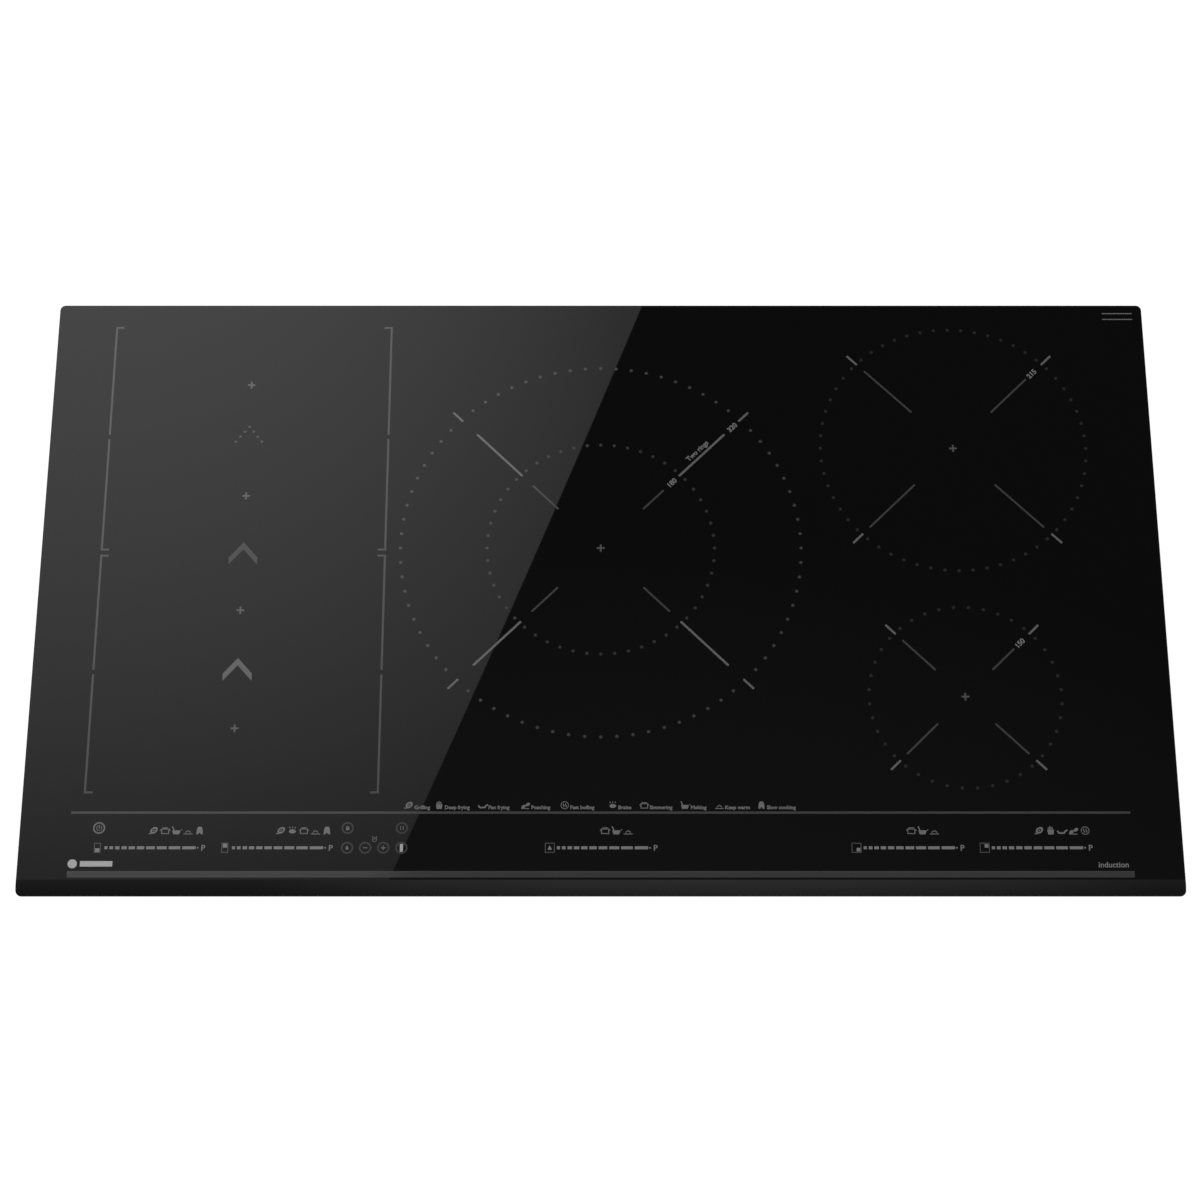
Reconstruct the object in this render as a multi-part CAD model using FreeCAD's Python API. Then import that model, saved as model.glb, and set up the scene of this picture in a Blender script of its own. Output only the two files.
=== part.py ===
"""Built-in induction hob, 900 x 510 mm, as an assembly of separate pieces.

Row frame, in millimetres: the origin is the centre of the hob on the worktop plane, where the underside
of the seal rests. +X is the user's right, +Y is away from the user and +Z is up. Everything below z = 0
hangs in the worktop cut-out.
"""
import FreeCAD, Part

import os
from math import atan2, cos, degrees, pi, radians, sin, sqrt

V = FreeCAD.Vector
OUT = "parts"

# ---------------------------------------------------------------- glass, seal and casing
GLASS_X, GLASS_Y, GLASS_T = 900.0, 510.0, 4.0
GLASS_CORNER_R = 4.5
GLASS_EDGE_CHAMFER = 0.5
BEVEL_DEPTH, BEVEL_DROP = 12.5, 2.4
SEAL_T, SEAL_WIDTH, SEAL_INSET = 2.0, 6.5, 3.0
CUTOUT_X, CUTOUT_Y = 860.0, 490.0

CASING_X, CASING_Y, CASING_DEPTH = 844.0, 472.0, 51.0
CASING_CORNER_R, CASING_BEND_R = 10.0, 3.0
SHEET = 1.0
FIT_GAP = 0.2

Z_GLASS = SEAL_T
Z_GLASS_TOP = Z_GLASS + GLASS_T
Z_BASE = -CASING_DEPTH
Z_FLOOR = Z_BASE + SHEET
Z_RIM = -0.2

# ---------------------------------------------------------------- coil stack, from the glass downwards
MICA_T, LITZ_H, CARRIER_T, FERRITE_T = 0.8, 4.5, 2.5, 4.0
Z_MICA = Z_GLASS - MICA_T
Z_LITZ = Z_MICA - LITZ_H
Z_CARRIER = Z_LITZ - CARRIER_T
Z_FERRITE = Z_CARRIER - FERRITE_T
LITZ_PITCH, LITZ_WIDTH = 3.6, 2.9
HUB_BORE_R = 8.0
LUG_R, LUG_HOLE_R = 6.5, 2.5

PLATE_T = 1.5
Z_PLATE_TOP = -16.0
Z_PLATE = Z_PLATE_TOP - PLATE_T
PLATE_X0, PLATE_X1, PLATE_Y0, PLATE_Y1 = -412.0, 412.0, -178.0, 230.0
LEAD_HOLE_R, GROMMET_HOLE_R = 1.6, 3.5

# Zone centres and the radii of the windings under them
FLEX_X, FLEX_PITCH = -287.5, 100.0
FLEX_REAR_Y, FLEX_FRONT_Y = 131.0, -69.0
FLEX_STRAIGHT, FLEX_R_IN, FLEX_TURNS = 112.0, 9.0, 10
FLEX_CARRIER_X, FLEX_CARRIER_Y = 210.0, 196.0
CENTRE = (0.0, 35.0)
CENTRE_RADII = ((21.0, 17), (101.0, 12))
CENTRE_R = 150.0
REAR_RIGHT = (287.5, 123.5)
REAR_RIGHT_RADII = ((22.0, 20),)
REAR_RIGHT_R = 100.0
FRONT_RIGHT = (287.5, -92.5)
FRONT_RIGHT_RADII = ((20.0, 13),)
FRONT_RIGHT_R = 71.0

# ---------------------------------------------------------------- electronics
BOARD_X, BOARD_Y, BOARD_T = 326.0, 210.0, 1.6
BOARD_Y0 = -168.0
LEFT_BOARD_X0, RIGHT_BOARD_X0 = -392.0, 38.0
Z_BOARD = -43.5
Z_BOARD_TOP = Z_BOARD + BOARD_T
POST_INSET, POST_R = 8.0, 3.5
SINK_DX, SINK_WIDTH, SINK_LENGTH, SINK_TOP = 160.0, 78.0, 196.0, -20.5
SINK_FLANGE, SINK_BASE_T, SINK_FINS, SINK_FIN_T = 18.0, 4.0, 12, 1.6

FAN_Y, FAN_BOX, FAN_CAVITY_R = 122.0, 124.0, 57.0
LEFT_FAN_X, RIGHT_FAN_X = -215.0, 215.0
FAN_BOTTOM, FAN_TOP, FAN_WALL = Z_FLOOR, -22.5, 2.0
FAN_INTAKE_R, FAN_WHEEL_R, FAN_HUB_R, FAN_SHAFT_R = 42.0, 50.0, 17.0, 1.5
FAN_BLADES = 30
FAN_SCREW_CORNERS, FAN_SCREW_INSET, FAN_SCREW_LEDGE = ((-1, -1), (-1, 1), (1, 1)), 6.0, 3.0
RUNNING_CLEARANCE = 0.05

# ---------------------------------------------------------------- mains connection, rear right
BOX_X0, BOX_X1, BOX_Y0, BOX_Y1, BOX_TOP, BOX_WALL = 296.0, 400.0, 146.0, 230.0, -26.0, 2.0
OPENING_X0, OPENING_X1, OPENING_Y0, OPENING_Y1 = 300.0, 396.0, 150.0, 223.0
COVER_PIVOT_Y, COVER_PIVOT_Z, COVER_PIN_R, COVER_BARREL_R, COVER_T = 218.5, -47.6, 1.5, 2.4, 2.0
CABLE_X, CABLE_Z, CABLE_BORE_R, GLAND_R = 332.0, -36.5, 6.5, 9.0

# ---------------------------------------------------------------- touch control, front
TOUCH_X, TOUCH_Y0, TOUCH_Y1 = 402.0, -231.0, -187.0
TOUCH_BOARD_X, TOUCH_BOARD_Y0, TOUCH_BOARD_Y1 = 396.0, -227.0, -191.0
Z_TOUCH_BOARD = -5.5
SLIDER_Y, KEY_UPPER_Y = -217.4, -201.4
SLIDER_CENTRES = (-348.5, -250.0, 1.0, 238.0, 337.0)
SLIDER_KEYS, SLIDER_LENGTH = 7, 70.0
FUNCTION_KEYS = ((-388.5, KEY_UPPER_Y), (-196.0, KEY_UPPER_Y), (-154.0, KEY_UPPER_Y),
                 (-196.0, SLIDER_Y), (-182.0, SLIDER_Y), (-168.0, SLIDER_Y), (-154.0, SLIDER_Y))

# ---------------------------------------------------------------- fixing springs, left and right
SPRING_Y, SPRING_WIDTH, SPRING_T = 132.0, 20.0, 0.8
SPRING_ROOT_X, SPRING_ROOT_Z, SPRING_BEAD_R = 425.0, -28.0, 1.2
SPRING_LEAN, SPRING_LEG, SPRING_TIP, SPRING_FOLD, SPRING_SWING = 25.0, 17.6, 9.0, 48.0, 8.0
SEAT_R, SEAT_WIDTH = 2.6, 26.0

# ---------------------------------------------------------------- screws
SCREW_R, SCREW_HEAD_R, SCREW_HEAD_H, SCREW_HOLE_R = 1.7, 3.4, 2.0, 1.75
WALL_SCREW_LENGTH = 4.5
SIDE_SCREW_YS = (-190.0, 0.0, 190.0)
END_SCREW_XS = (-330.0, -110.0, 110.0, 250.0)
WALL_SCREW_Z = -8.0
COIL_SCREW_R, COIL_SCREW_HEAD_R, COIL_SCREW_HEAD_H = 2.0, 3.8, 2.2
COIL_SPRING_R, COIL_SPRING_WIRE_R, COIL_SPRING_TURNS = 4.2, 0.45, 4


# ================================================================ shape helpers
def block(x0, x1, y0, y1, z0, z1):
    return Part.makeBox(x1 - x0, y1 - y0, z1 - z0, V(x0, y0, z0))


def rod(x, y, z0, z1, r):
    return Part.makeCylinder(r, z1 - z0, V(x, y, z0))


def bar_x(x0, x1, y, z, r):
    return Part.makeCylinder(r, x1 - x0, V(x0, y, z), V(1, 0, 0))


def bar_y(x, y0, y1, z, r):
    return Part.makeCylinder(r, y1 - y0, V(x, y0, z), V(0, 1, 0))


def cut(shape, tools):
    return shape.cut(tools if isinstance(tools, list) else [tools])


def fuse(first, others):
    return first.fuse(others).removeSplitter()


def group(shapes):
    return Part.makeCompound(shapes)


def moved(shape, dx=0.0, dy=0.0, dz=0.0):
    copy = shape.copy()
    copy.translate(V(dx, dy, dz))
    return copy


def turned(shape, x, y, angle):
    copy = shape.copy()
    copy.rotate(V(x, y, 0), V(0, 0, 1), angle)
    return copy


def slab(x0, x1, y0, y1, z0, z1, r):
    """A flat plate with four rounded corners."""
    plate = block(x0, x1, y0, y1, z0, z1)
    upright = [e for e in plate.Edges if abs(e.Vertexes[0].Z - e.Vertexes[1].Z) > 0.5 * (z1 - z0)]
    return plate.makeFillet(r, upright)


def centred_slab(half_x, half_y, z0, z1, r):
    return slab(-half_x, half_x, -half_y, half_y, z0, z1, r)


def ring(outer, inner, z0, z1):
    """A rectangular ring between two centred outlines, each (half_x, half_y, corner radius)."""
    return cut(centred_slab(*outer[:2], z0, z1, outer[2]), centred_slab(*inner[:2], z0 - 1, z1 + 1, inner[2]))


def tube(x, y, z0, z1, r_out, r_in):
    return cut(rod(x, y, z0, z1, r_out), rod(x, y, z0 - 1, z1 + 1, r_in))


def slot_y(x, y, z0, z1, length, width):
    """An upright prism with an oblong outline whose long way is Y."""
    half = (length - width) / 2
    body = block(x - width / 2, x + width / 2, y - half, y + half, z0, z1)
    return fuse(body, [rod(x, y - half, z0, z1, width / 2), rod(x, y + half, z0, z1, width / 2)])


def profile_y(points, y0, y1):
    """A prism of an XZ outline, pushed along Y."""
    wire = Part.makePolygon([V(x, y0, z) for x, z in points + points[:1]])
    return Part.Face(wire).extrude(V(0, y1 - y0, 0))


def profile_x(points, x0, x1):
    """A prism of a YZ outline, pushed along X."""
    wire = Part.makePolygon([V(x0, y, z) for y, z in points + points[:1]])
    return Part.Face(wire).extrude(V(x1 - x0, 0, 0))


def pan_screw(x, y, z, direction, length):
    """A pan-head screw whose head sits on the point given and whose shank runs along direction."""
    d = V(*direction)
    at = V(x, y, z)
    head = Part.makeCylinder(SCREW_HEAD_R, SCREW_HEAD_H, at - d * SCREW_HEAD_H, d)
    crown = [e for e in head.Edges if e.BoundBox.Center.distanceToPoint(at - d * SCREW_HEAD_H) < 0.01]
    head = head.makeFillet(SCREW_HEAD_H * 0.4, crown)
    shank = Part.makeCylinder(SCREW_R, length, at, d)
    across = V(d.z, d.x, d.y)
    recess = []
    for side in (across, d.cross(across)):
        other = d.cross(side)
        arm = Part.makeBox(3.6, 0.8, 1.2, V(0, 0, 0))
        arm.translate(V(-1.8, -0.4, 0))
        place = FreeCAD.Placement(at - d * (SCREW_HEAD_H + 0.01), FreeCAD.Rotation(side, other, d, "XYZ"))
        arm.Placement = place.multiply(arm.Placement)
        recess.append(arm)
    return cut(fuse(head, [shank]), recess)


# ================================================================ glass, seal, frame and casing
def glass_top():
    """Glass-ceramic panel with a wide bevel along the front edge and a fine chamfer all round."""
    half_x, half_y = GLASS_X / 2, GLASS_Y / 2
    panel = centred_slab(half_x, half_y, Z_GLASS, Z_GLASS_TOP, GLASS_CORNER_R)
    rims = [e for e in panel.Edges if abs(e.BoundBox.ZMin - e.BoundBox.ZMax) < 0.01]
    panel = panel.makeChamfer(GLASS_EDGE_CHAMFER, rims)
    start, beyond = BEVEL_DEPTH - half_y, -half_y - 1.0
    drop = BEVEL_DROP * (start - beyond) / BEVEL_DEPTH
    wedge = profile_x([(start, Z_GLASS_TOP), (start, Z_GLASS_TOP + 1), (beyond, Z_GLASS_TOP + 1),
                       (beyond, Z_GLASS_TOP - drop)], -half_x - 1, half_x + 1)
    return cut(panel, wedge)


def worktop_seal():
    half_x, half_y = GLASS_X / 2 - SEAL_INSET, GLASS_Y / 2 - SEAL_INSET
    return ring((half_x, half_y, 6.0), (half_x - SEAL_WIDTH, half_y - SEAL_WIDTH, 2.0), 0.0, SEAL_T)


FRAME_LEG_DROP, FRAME_T = 14.0, 0.8
Z_FLANGE_TOP = Z_GLASS - 1.0
FRAME_X = CASING_X / 2 - SHEET - FIT_GAP
FRAME_Y = CASING_Y / 2 - SHEET - FIT_GAP
FLANGE_X, FLANGE_Y = CUTOUT_X / 2 - 1.0, CUTOUT_Y / 2 - 1.5


def wall_screw_places():
    """(x, y, inward direction) of each screw that holds the frame in the casing's walls."""
    places = []
    for side in (-1, 1):
        places += [(side * CASING_X / 2, y, (-side, 0, 0)) for y in SIDE_SCREW_YS]
        places += [(x, side * CASING_Y / 2, (0, -side, 0)) for x in END_SCREW_XS]
    return places


def wall_screw_holes(r, length=8.0):
    return [Part.makeCylinder(r, length, V(x, y, WALL_SCREW_Z) - V(*d) * 2, V(*d))
            for x, y, d in wall_screw_places()]


def glass_frame():
    """Steel angle round the casing: its flange is bonded to the glass, its leg is screwed to the casing."""
    corner = CASING_CORNER_R - SHEET - FIT_GAP
    inner = (FRAME_X - FRAME_T, FRAME_Y - FRAME_T, corner - FRAME_T)
    leg = ring((FRAME_X, FRAME_Y, corner), inner, -FRAME_LEG_DROP, Z_FLANGE_TOP)
    flange = ring((FLANGE_X, FLANGE_Y, CASING_CORNER_R), inner, Z_FLANGE_TOP - FRAME_T, Z_FLANGE_TOP)
    return cut(fuse(leg, [flange]), wall_screw_holes(SCREW_HOLE_R))


def glass_adhesive():
    """The bead of silicone between the frame's flange and the glass."""
    outer = (FLANGE_X - 1, FLANGE_Y - 1, CASING_CORNER_R)
    return ring(outer, (FRAME_X + 1, FRAME_Y + 1, CASING_CORNER_R - 2), Z_FLANGE_TOP, Z_GLASS)


FLOOR_SCREWS = [(x, y) for x in (-404.0, 404.0) for y in (-150.0, 20.0)] + [(-404.0, 200.0)]
EAR_SCREWS = [(BOX_X0 + 12.0, BOX_Y0 - 6.0), (BOX_X1 - 12.0, BOX_Y0 - 6.0)]


def fan_screws():
    reach = FAN_BOX / 2 - FAN_SCREW_INSET
    return [(x + sx * reach, FAN_Y + sy * reach)
            for x in (LEFT_FAN_X, RIGHT_FAN_X) for sx, sy in FAN_SCREW_CORNERS]


VENT_SLOT, VENT_PITCH, VENT_Z0, VENT_Z1 = 3.0, 9.0, -40.0, -19.0
FRONT_VENTS = ((-340.0, 22), (142.0, 22))
REAR_VENTS = ((-380.0, 12), (-60.0, 14))
SIDE_VENTS = ((-100.0, 17),)


def fan_grille(x, y):
    """Two rings of radial slots under a fan's intake."""
    slots = []
    for r0, r1, count in ((12.0, 23.0, 12), (26.5, 40.0, 24)):
        slot = block(x + r0, x + r1, y - 1.6, y + 1.6, Z_BASE - 3, Z_FLOOR + 3)
        slots += [turned(slot, x, y, 360.0 * i / count) for i in range(count)]
    return slots


def wall_vents():
    """Upright slots in the front, rear and side walls, where the cooling air leaves."""
    slots = []
    for y, banks in ((-CASING_Y / 2, FRONT_VENTS), (CASING_Y / 2, REAR_VENTS)):
        for x0, count in banks:
            starts = [x0 + VENT_PITCH * i for i in range(count)]
            slots += [block(x, x + VENT_SLOT, y - 3, y + 3, VENT_Z0, VENT_Z1) for x in starts]
    for x in (-CASING_X / 2, CASING_X / 2):
        for y0, count in SIDE_VENTS:
            starts = [y0 + VENT_PITCH * i for i in range(count)]
            slots += [block(x - 3, x + 3, y, y + VENT_SLOT, VENT_Z0, VENT_Z1) for y in starts]
    return slots


RIB_HEIGHT, RIB_WIDTH = 1.2, 9.0
# Each rib's length and its middle: the long ones run along X, the short ones along Y
RIBS_ALONG_X = [(345.0, -232.5, -187.0), (345.0, 232.5, -187.0)]
RIBS_ALONG_X += [(250.0, 0.0, y) for y in (80.0, 140.0, 200.0)]
RIBS_ALONG_Y = [(120.0, x0 + 50.0 + 75.0 * i, -63.0)
                for x0 in (LEFT_BOARD_X0, RIGHT_BOARD_X0) for i in range(4)]
RIBS = [(length, RIB_WIDTH, x, y) for length, x, y in RIBS_ALONG_X]
RIBS += [(RIB_WIDTH, length, x, y) for length, x, y in RIBS_ALONG_Y]


def bottom_tray():
    """Deep-drawn steel casing, open at the top, with pressed ribs, fan grilles and vents."""
    hx, hy = CASING_X / 2, CASING_Y / 2
    outer = centred_slab(hx, hy, Z_BASE, Z_RIM, CASING_CORNER_R)
    bend = [e for e in outer.Edges if abs(e.BoundBox.ZMax - Z_BASE) < 0.01]
    outer = outer.makeFillet(CASING_BEND_R, bend)
    inner = centred_slab(hx - SHEET, hy - SHEET, Z_FLOOR, Z_RIM + 5, CASING_CORNER_R - SHEET)
    bend = [e for e in inner.Edges if abs(e.BoundBox.ZMax - Z_FLOOR) < 0.01]
    inner = inner.makeFillet(CASING_BEND_R - SHEET, bend)
    tray = cut(outer, inner)
    ridges, grooves = [], []
    inset = SHEET * 0.8
    for size_x, size_y, x, y in RIBS:
        hx_rib, hy_rib = size_x / 2, size_y / 2
        ridge = centred_slab(hx_rib, hy_rib, Z_FLOOR, Z_FLOOR + RIB_HEIGHT, 4.0)
        groove = centred_slab(hx_rib - inset, hy_rib - inset, Z_BASE - 1, Z_BASE + RIB_HEIGHT, 3.2)
        ridges.append(moved(ridge, x, y))
        grooves.append(moved(groove, x, y))
    tray = tray.fuse(ridges)
    tools = grooves + wall_vents() + wall_screw_holes(SCREW_HOLE_R)
    tools += fan_grille(LEFT_FAN_X, FAN_Y) + fan_grille(RIGHT_FAN_X, FAN_Y)
    tools.append(slab(OPENING_X0, OPENING_X1, OPENING_Y0, OPENING_Y1, Z_BASE - 5, Z_FLOOR + 5, 2.0))
    tools.append(bar_y(CABLE_X, hy - 5, hy + 5, CABLE_Z, GLAND_R + FIT_GAP / 2))
    tools += [rod(x, y, Z_BASE - 5, Z_FLOOR + 5, SCREW_HOLE_R)
              for x, y in FLOOR_SCREWS + fan_screws() + EAR_SCREWS]
    tools += [Part.makeCylinder(SCREW_HOLE_R, 8, V(side * (hx + 2), y, SEAT_SCREW_Z), V(-side, 0, 0))
              for side in (-1, 1) for y in (-SPRING_Y, SPRING_Y)]
    return cut(tray, tools)


# ================================================================ coil support plate
def winding_ends(cx, cy, r_in, turns, straight=0.0):
    """Where a winding's inner and outer ends lie, which is where its two leads rise to it."""
    step = LITZ_PITCH / 2
    r_out = r_in + (2 * turns - 1) * step
    return [(cx + straight / 2, cy + step / 2 - r_in), (cx - straight / 2, cy - step / 2 - r_out)]


# Each winding's lead plug on a power board, and the places of its two ends
FLEX_OVALS = [(FLEX_X, y + d, FLEX_R_IN, FLEX_TURNS, FLEX_STRAIGHT)
              for y in (FLEX_REAR_Y, FLEX_FRONT_Y) for d in (FLEX_PITCH / 2, -FLEX_PITCH / 2)]
ROUND_SPIRALS = [centre + spiral for centre, spirals in
                 ((CENTRE, CENTRE_RADII), (REAR_RIGHT, REAR_RIGHT_RADII), (FRONT_RIGHT, FRONT_RIGHT_RADII))
                 for spiral in spirals]
PLUGS = [(-372.0, 22.0), (-372.0, -2.0), (-372.0, -30.0), (-372.0, -119.0),
         (58.0, 18.0), (58.0, -44.0), (338.0, 18.0), (338.0, -92.0)]
LEADS = list(zip(PLUGS, [winding_ends(*spiral) for spiral in FLEX_OVALS + ROUND_SPIRALS]))
LEAD_ENDS = [end for _, ends in LEADS for end in ends]


def lead_holes(z0, z1, r):
    return [rod(x, y, z0, z1, r) for x, y in LEAD_ENDS]


def round_lugs(centre, radius, count, first):
    return [(centre[0] + (radius + 3) * cos(radians(first + 360 / count * i)),
             centre[1] + (radius + 3) * sin(radians(first + 360 / count * i))) for i in range(count)]


def flex_lugs(y):
    return [(FLEX_X + sx * (FLEX_CARRIER_X / 2 + 3), y + sy * (FLEX_CARRIER_Y / 2 - 30))
            for sx in (-1, 1) for sy in (-1, 1)]


LUGS = {
    "flex_rear": flex_lugs(FLEX_REAR_Y),
    "flex_front": flex_lugs(FLEX_FRONT_Y),
    "centre": round_lugs(CENTRE, CENTRE_R, 4, 0.0),
    "rear_right": round_lugs(REAR_RIGHT, REAR_RIGHT_R, 3, 30.0),
    "front_right": round_lugs(FRONT_RIGHT, FRONT_RIGHT_R, 3, -30.0),
}
ALL_LUGS = [place for places in LUGS.values() for place in places]


def coil_plate():
    """Folded aluminium plate that carries all the coils, standing on the casing's floor on two side legs."""
    sheet = slab(PLATE_X0, PLATE_X1, PLATE_Y0, PLATE_Y1, Z_PLATE, Z_PLATE_TOP, 6.0)
    legs = []
    for x0, foot in ((PLATE_X0, 1), (PLATE_X1 - PLATE_T, -1)):
        legs.append(block(x0, x0 + PLATE_T, PLATE_Y0 + 10, PLATE_Y1 - 10, Z_FLOOR, Z_PLATE + 0.5))
        f0 = x0 if foot > 0 else x0 + PLATE_T - 14
        for x, y in FLOOR_SCREWS:
            if (x < 0) == (foot > 0):
                legs.append(block(f0, f0 + 14, y - 12, y + 12, Z_FLOOR, Z_FLOOR + PLATE_T))
    plate = fuse(sheet, legs)
    tools = lead_holes(Z_PLATE - 1, Z_PLATE_TOP + 1, GROMMET_HOLE_R)
    tools += [rod(x, y, Z_PLATE - 1, Z_PLATE_TOP + 1, COIL_SCREW_R + 0.05) for x, y in ALL_LUGS]
    tools += [rod(x, y, Z_FLOOR - 1, Z_FLOOR + 5, SCREW_HOLE_R) for x, y in FLOOR_SCREWS]
    for x in (-165.0, 165.0):
        tools += [slot_y(x, y, Z_PLATE - 1, Z_PLATE_TOP + 1, 60.0, 8.0) for y in (-140.0, 195.0)]
    for x in (PLATE_X0 - 1, PLATE_X1 - PLATE_T - 1):
        tools += [block(x, x + PLATE_T + 2, y, y + 40, -42.0, -24.0) for y in (-120.0, -60.0, 60.0, 120.0)]
    return cut(plate, tools)


# ================================================================ coils
def spiral(cx, cy, r_in, turns, straight=0.0):
    """A flat spiral strip: half circles whose centres alternate by half a pitch, joined by any straights."""
    outer, inner = [], []
    half_w, step = LITZ_WIDTH / 2, LITZ_PITCH / 2
    for k in range(2 * turns):
        r = r_in + k * step
        side = 1 if k % 2 == 0 else -1
        yc = cy + side * step / 2
        xc = cx + side * straight / 2
        for path, radius in ((outer, r + half_w), (inner, r - half_w)):
            path.append(((xc, yc - side * radius), (xc + side * radius, yc), (xc, yc + side * radius)))
    edges = []

    def arc(a, b, c):
        edges.append(Part.Arc(V(*a, Z_LITZ), V(*b, Z_LITZ), V(*c, Z_LITZ)).toShape())

    def line(a, b):
        if sqrt((a[0] - b[0]) ** 2 + (a[1] - b[1]) ** 2) > 1e-6:
            edges.append(Part.makeLine(V(*a, Z_LITZ), V(*b, Z_LITZ)))

    for i, (a, b, c) in enumerate(outer):
        arc(a, b, c)
        line(c, outer[i + 1][0] if i + 1 < len(outer) else inner[-1][2])
    for i in range(len(inner) - 1, -1, -1):
        a, b, c = inner[i]
        arc(c, b, a)
        line(a, inner[i - 1][2] if i else outer[0][0])
    return Part.Face(Part.Wire(edges)).extrude(V(0, 0, LITZ_H))


def round_winding(centre, radii):
    return group([spiral(*centre, r_in, turns) for r_in, turns in radii])


def flex_winding(y):
    return group([spiral(FLEX_X, y + d, FLEX_R_IN, FLEX_TURNS, FLEX_STRAIGHT)
                  for d in (FLEX_PITCH / 2, -FLEX_PITCH / 2)])


RIM_T, SPOKE_R0 = 2.0, 24.0


def lugs_on(places, toward):
    """Round lugs with a web back to the carrier, and their screw holes."""
    lugs = [rod(x, y, Z_CARRIER, Z_LITZ, LUG_R) for x, y in places]
    for x, y in places:
        cx, cy = toward(x, y)
        angle = degrees(atan2(cy - y, cx - x))
        lugs.append(turned(block(x, x + 12, y - LUG_R, y + LUG_R, Z_CARRIER, Z_LITZ), x, y, angle))
    holes = [rod(x, y, Z_CARRIER - 1, Z_LITZ + 1, LUG_HOLE_R) for x, y in places]
    heads = [rod(x, y, Z_LITZ, Z_GLASS, LUG_R + 0.5) for x, y in places]
    return lugs, holes + heads


def round_carrier(centre, radius, bars, places):
    """Plastic dish that carries one winding, with cooling windows between the ferrite bars."""
    x, y = centre
    dish = rod(x, y, Z_CARRIER, Z_LITZ, radius)
    rim = tube(x, y, Z_CARRIER, Z_LITZ + LITZ_H - 1.0, radius, radius - RIM_T)
    lugs, tools = lugs_on(places, lambda px, py: centre)
    tools.append(rod(x, y, Z_CARRIER - 1, Z_LITZ + 1, HUB_BORE_R))
    tools += lead_holes(Z_CARRIER - 1, Z_LITZ + 1, LEAD_HOLE_R)
    for i in range(bars):
        window = block(x + SPOKE_R0, x + radius - 12, y - 4, y + 4, Z_CARRIER - 1, Z_LITZ + 1)
        tools.append(turned(window, x, y, 270.0 + 360.0 / bars * i))
    return cut(fuse(dish, [rim] + lugs), tools)


def round_ferrites(centre, radius, bars):
    """Radial ferrite bars on the underside of a round carrier."""
    x, y = centre
    bar = block(x + SPOKE_R0, x + radius - 6, y - 6, y + 6, Z_FERRITE, Z_CARRIER)
    return group([turned(bar, x, y, 270.0 + 360.0 / bars * (i + 0.5)) for i in range(bars)])


def round_mica(centre, radius):
    return tube(*centre, Z_MICA, Z_GLASS, radius - 2.5, HUB_BORE_R)


def sensors(places):
    """Temperature sensor at each coil's centre: a rubber boot with a tip that touches the glass."""
    bodies = []
    for x, y in places:
        flange = rod(x, y, Z_CARRIER - 2, Z_CARRIER, HUB_BORE_R + 2)
        boot = rod(x, y, Z_CARRIER - 1, 0.0, HUB_BORE_R - 0.5)
        bodies.append(fuse(flange, [boot, rod(x, y, -1.0, Z_GLASS, 4.0)]))
    return group(bodies)


def flex_outline(y, inset, z0, z1):
    return slab(FLEX_X - FLEX_CARRIER_X / 2 + inset, FLEX_X + FLEX_CARRIER_X / 2 - inset,
                y - FLEX_CARRIER_Y / 2 + inset, y + FLEX_CARRIER_Y / 2 - inset, z0, z1, 12.0 - inset)


def flex_oval_centres(y):
    return [(FLEX_X, y + FLEX_PITCH / 2), (FLEX_X, y - FLEX_PITCH / 2)]


def flex_carrier(y, places):
    """Plastic tray that carries two oval windings side by side."""
    tray = flex_outline(y, 0.0, Z_CARRIER, Z_LITZ + LITZ_H - 1.0)
    tray = cut(tray, flex_outline(y, RIM_T, Z_LITZ, Z_LITZ + LITZ_H))
    lugs, tools = lugs_on(places, lambda px, py: (FLEX_X, py))
    tools += [rod(x, cy, Z_CARRIER - 1, Z_LITZ + 1, HUB_BORE_R) for x, cy in flex_oval_centres(y)]
    tools += lead_holes(Z_CARRIER - 1, Z_LITZ + 1, LEAD_HOLE_R)
    for x, cy in flex_oval_centres(y):
        tools += [block(x + dx - 5, x + dx + 5, cy - 34, cy + 34, Z_CARRIER - 1, Z_LITZ + 1)
                  for dx in (-82.0, -46.0, 46.0, 82.0)]
    return cut(fuse(tray, lugs), tools)


def flex_ferrites(y):
    bars = []
    for x, cy in flex_oval_centres(y):
        bars += [block(x + dx - 6, x + dx + 6, cy - 38, cy + 38, Z_FERRITE, Z_CARRIER)
                 for dx in (-64.0, -28.0, 28.0, 64.0)]
    return group(bars)


def flex_mica(y):
    holes = [rod(x, cy, Z_MICA - 1, Z_GLASS + 1, HUB_BORE_R) for x, cy in flex_oval_centres(y)]
    return cut(flex_outline(y, 2.5, Z_MICA, Z_GLASS), holes)


def coil_spring(length):
    """One compression spring standing on the origin, wound from arcs of half a turn."""
    rise = length / COIL_SPRING_TURNS / 4
    arcs = []
    for k in range(2 * COIL_SPRING_TURNS):
        side = 1 if k % 2 == 0 else -1
        z = 2 * k * rise
        start, middle = V(side * COIL_SPRING_R, 0, z), V(0, side * COIL_SPRING_R, z + rise)
        arcs.append(Part.Arc(start, middle, V(-side * COIL_SPRING_R, 0, z + 2 * rise)).toShape())
    tangent = arcs[0].tangentAt(arcs[0].FirstParameter)
    wire = Part.Circle(V(COIL_SPRING_R, 0, 0), tangent, COIL_SPRING_WIRE_R)
    quarters = [Part.Arc(wire, i * pi / 2, (i + 1) * pi / 2).toShape() for i in range(4)]
    return Part.Wire(arcs).makePipeShell([Part.Wire(quarters)], True, False, 0)


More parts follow.
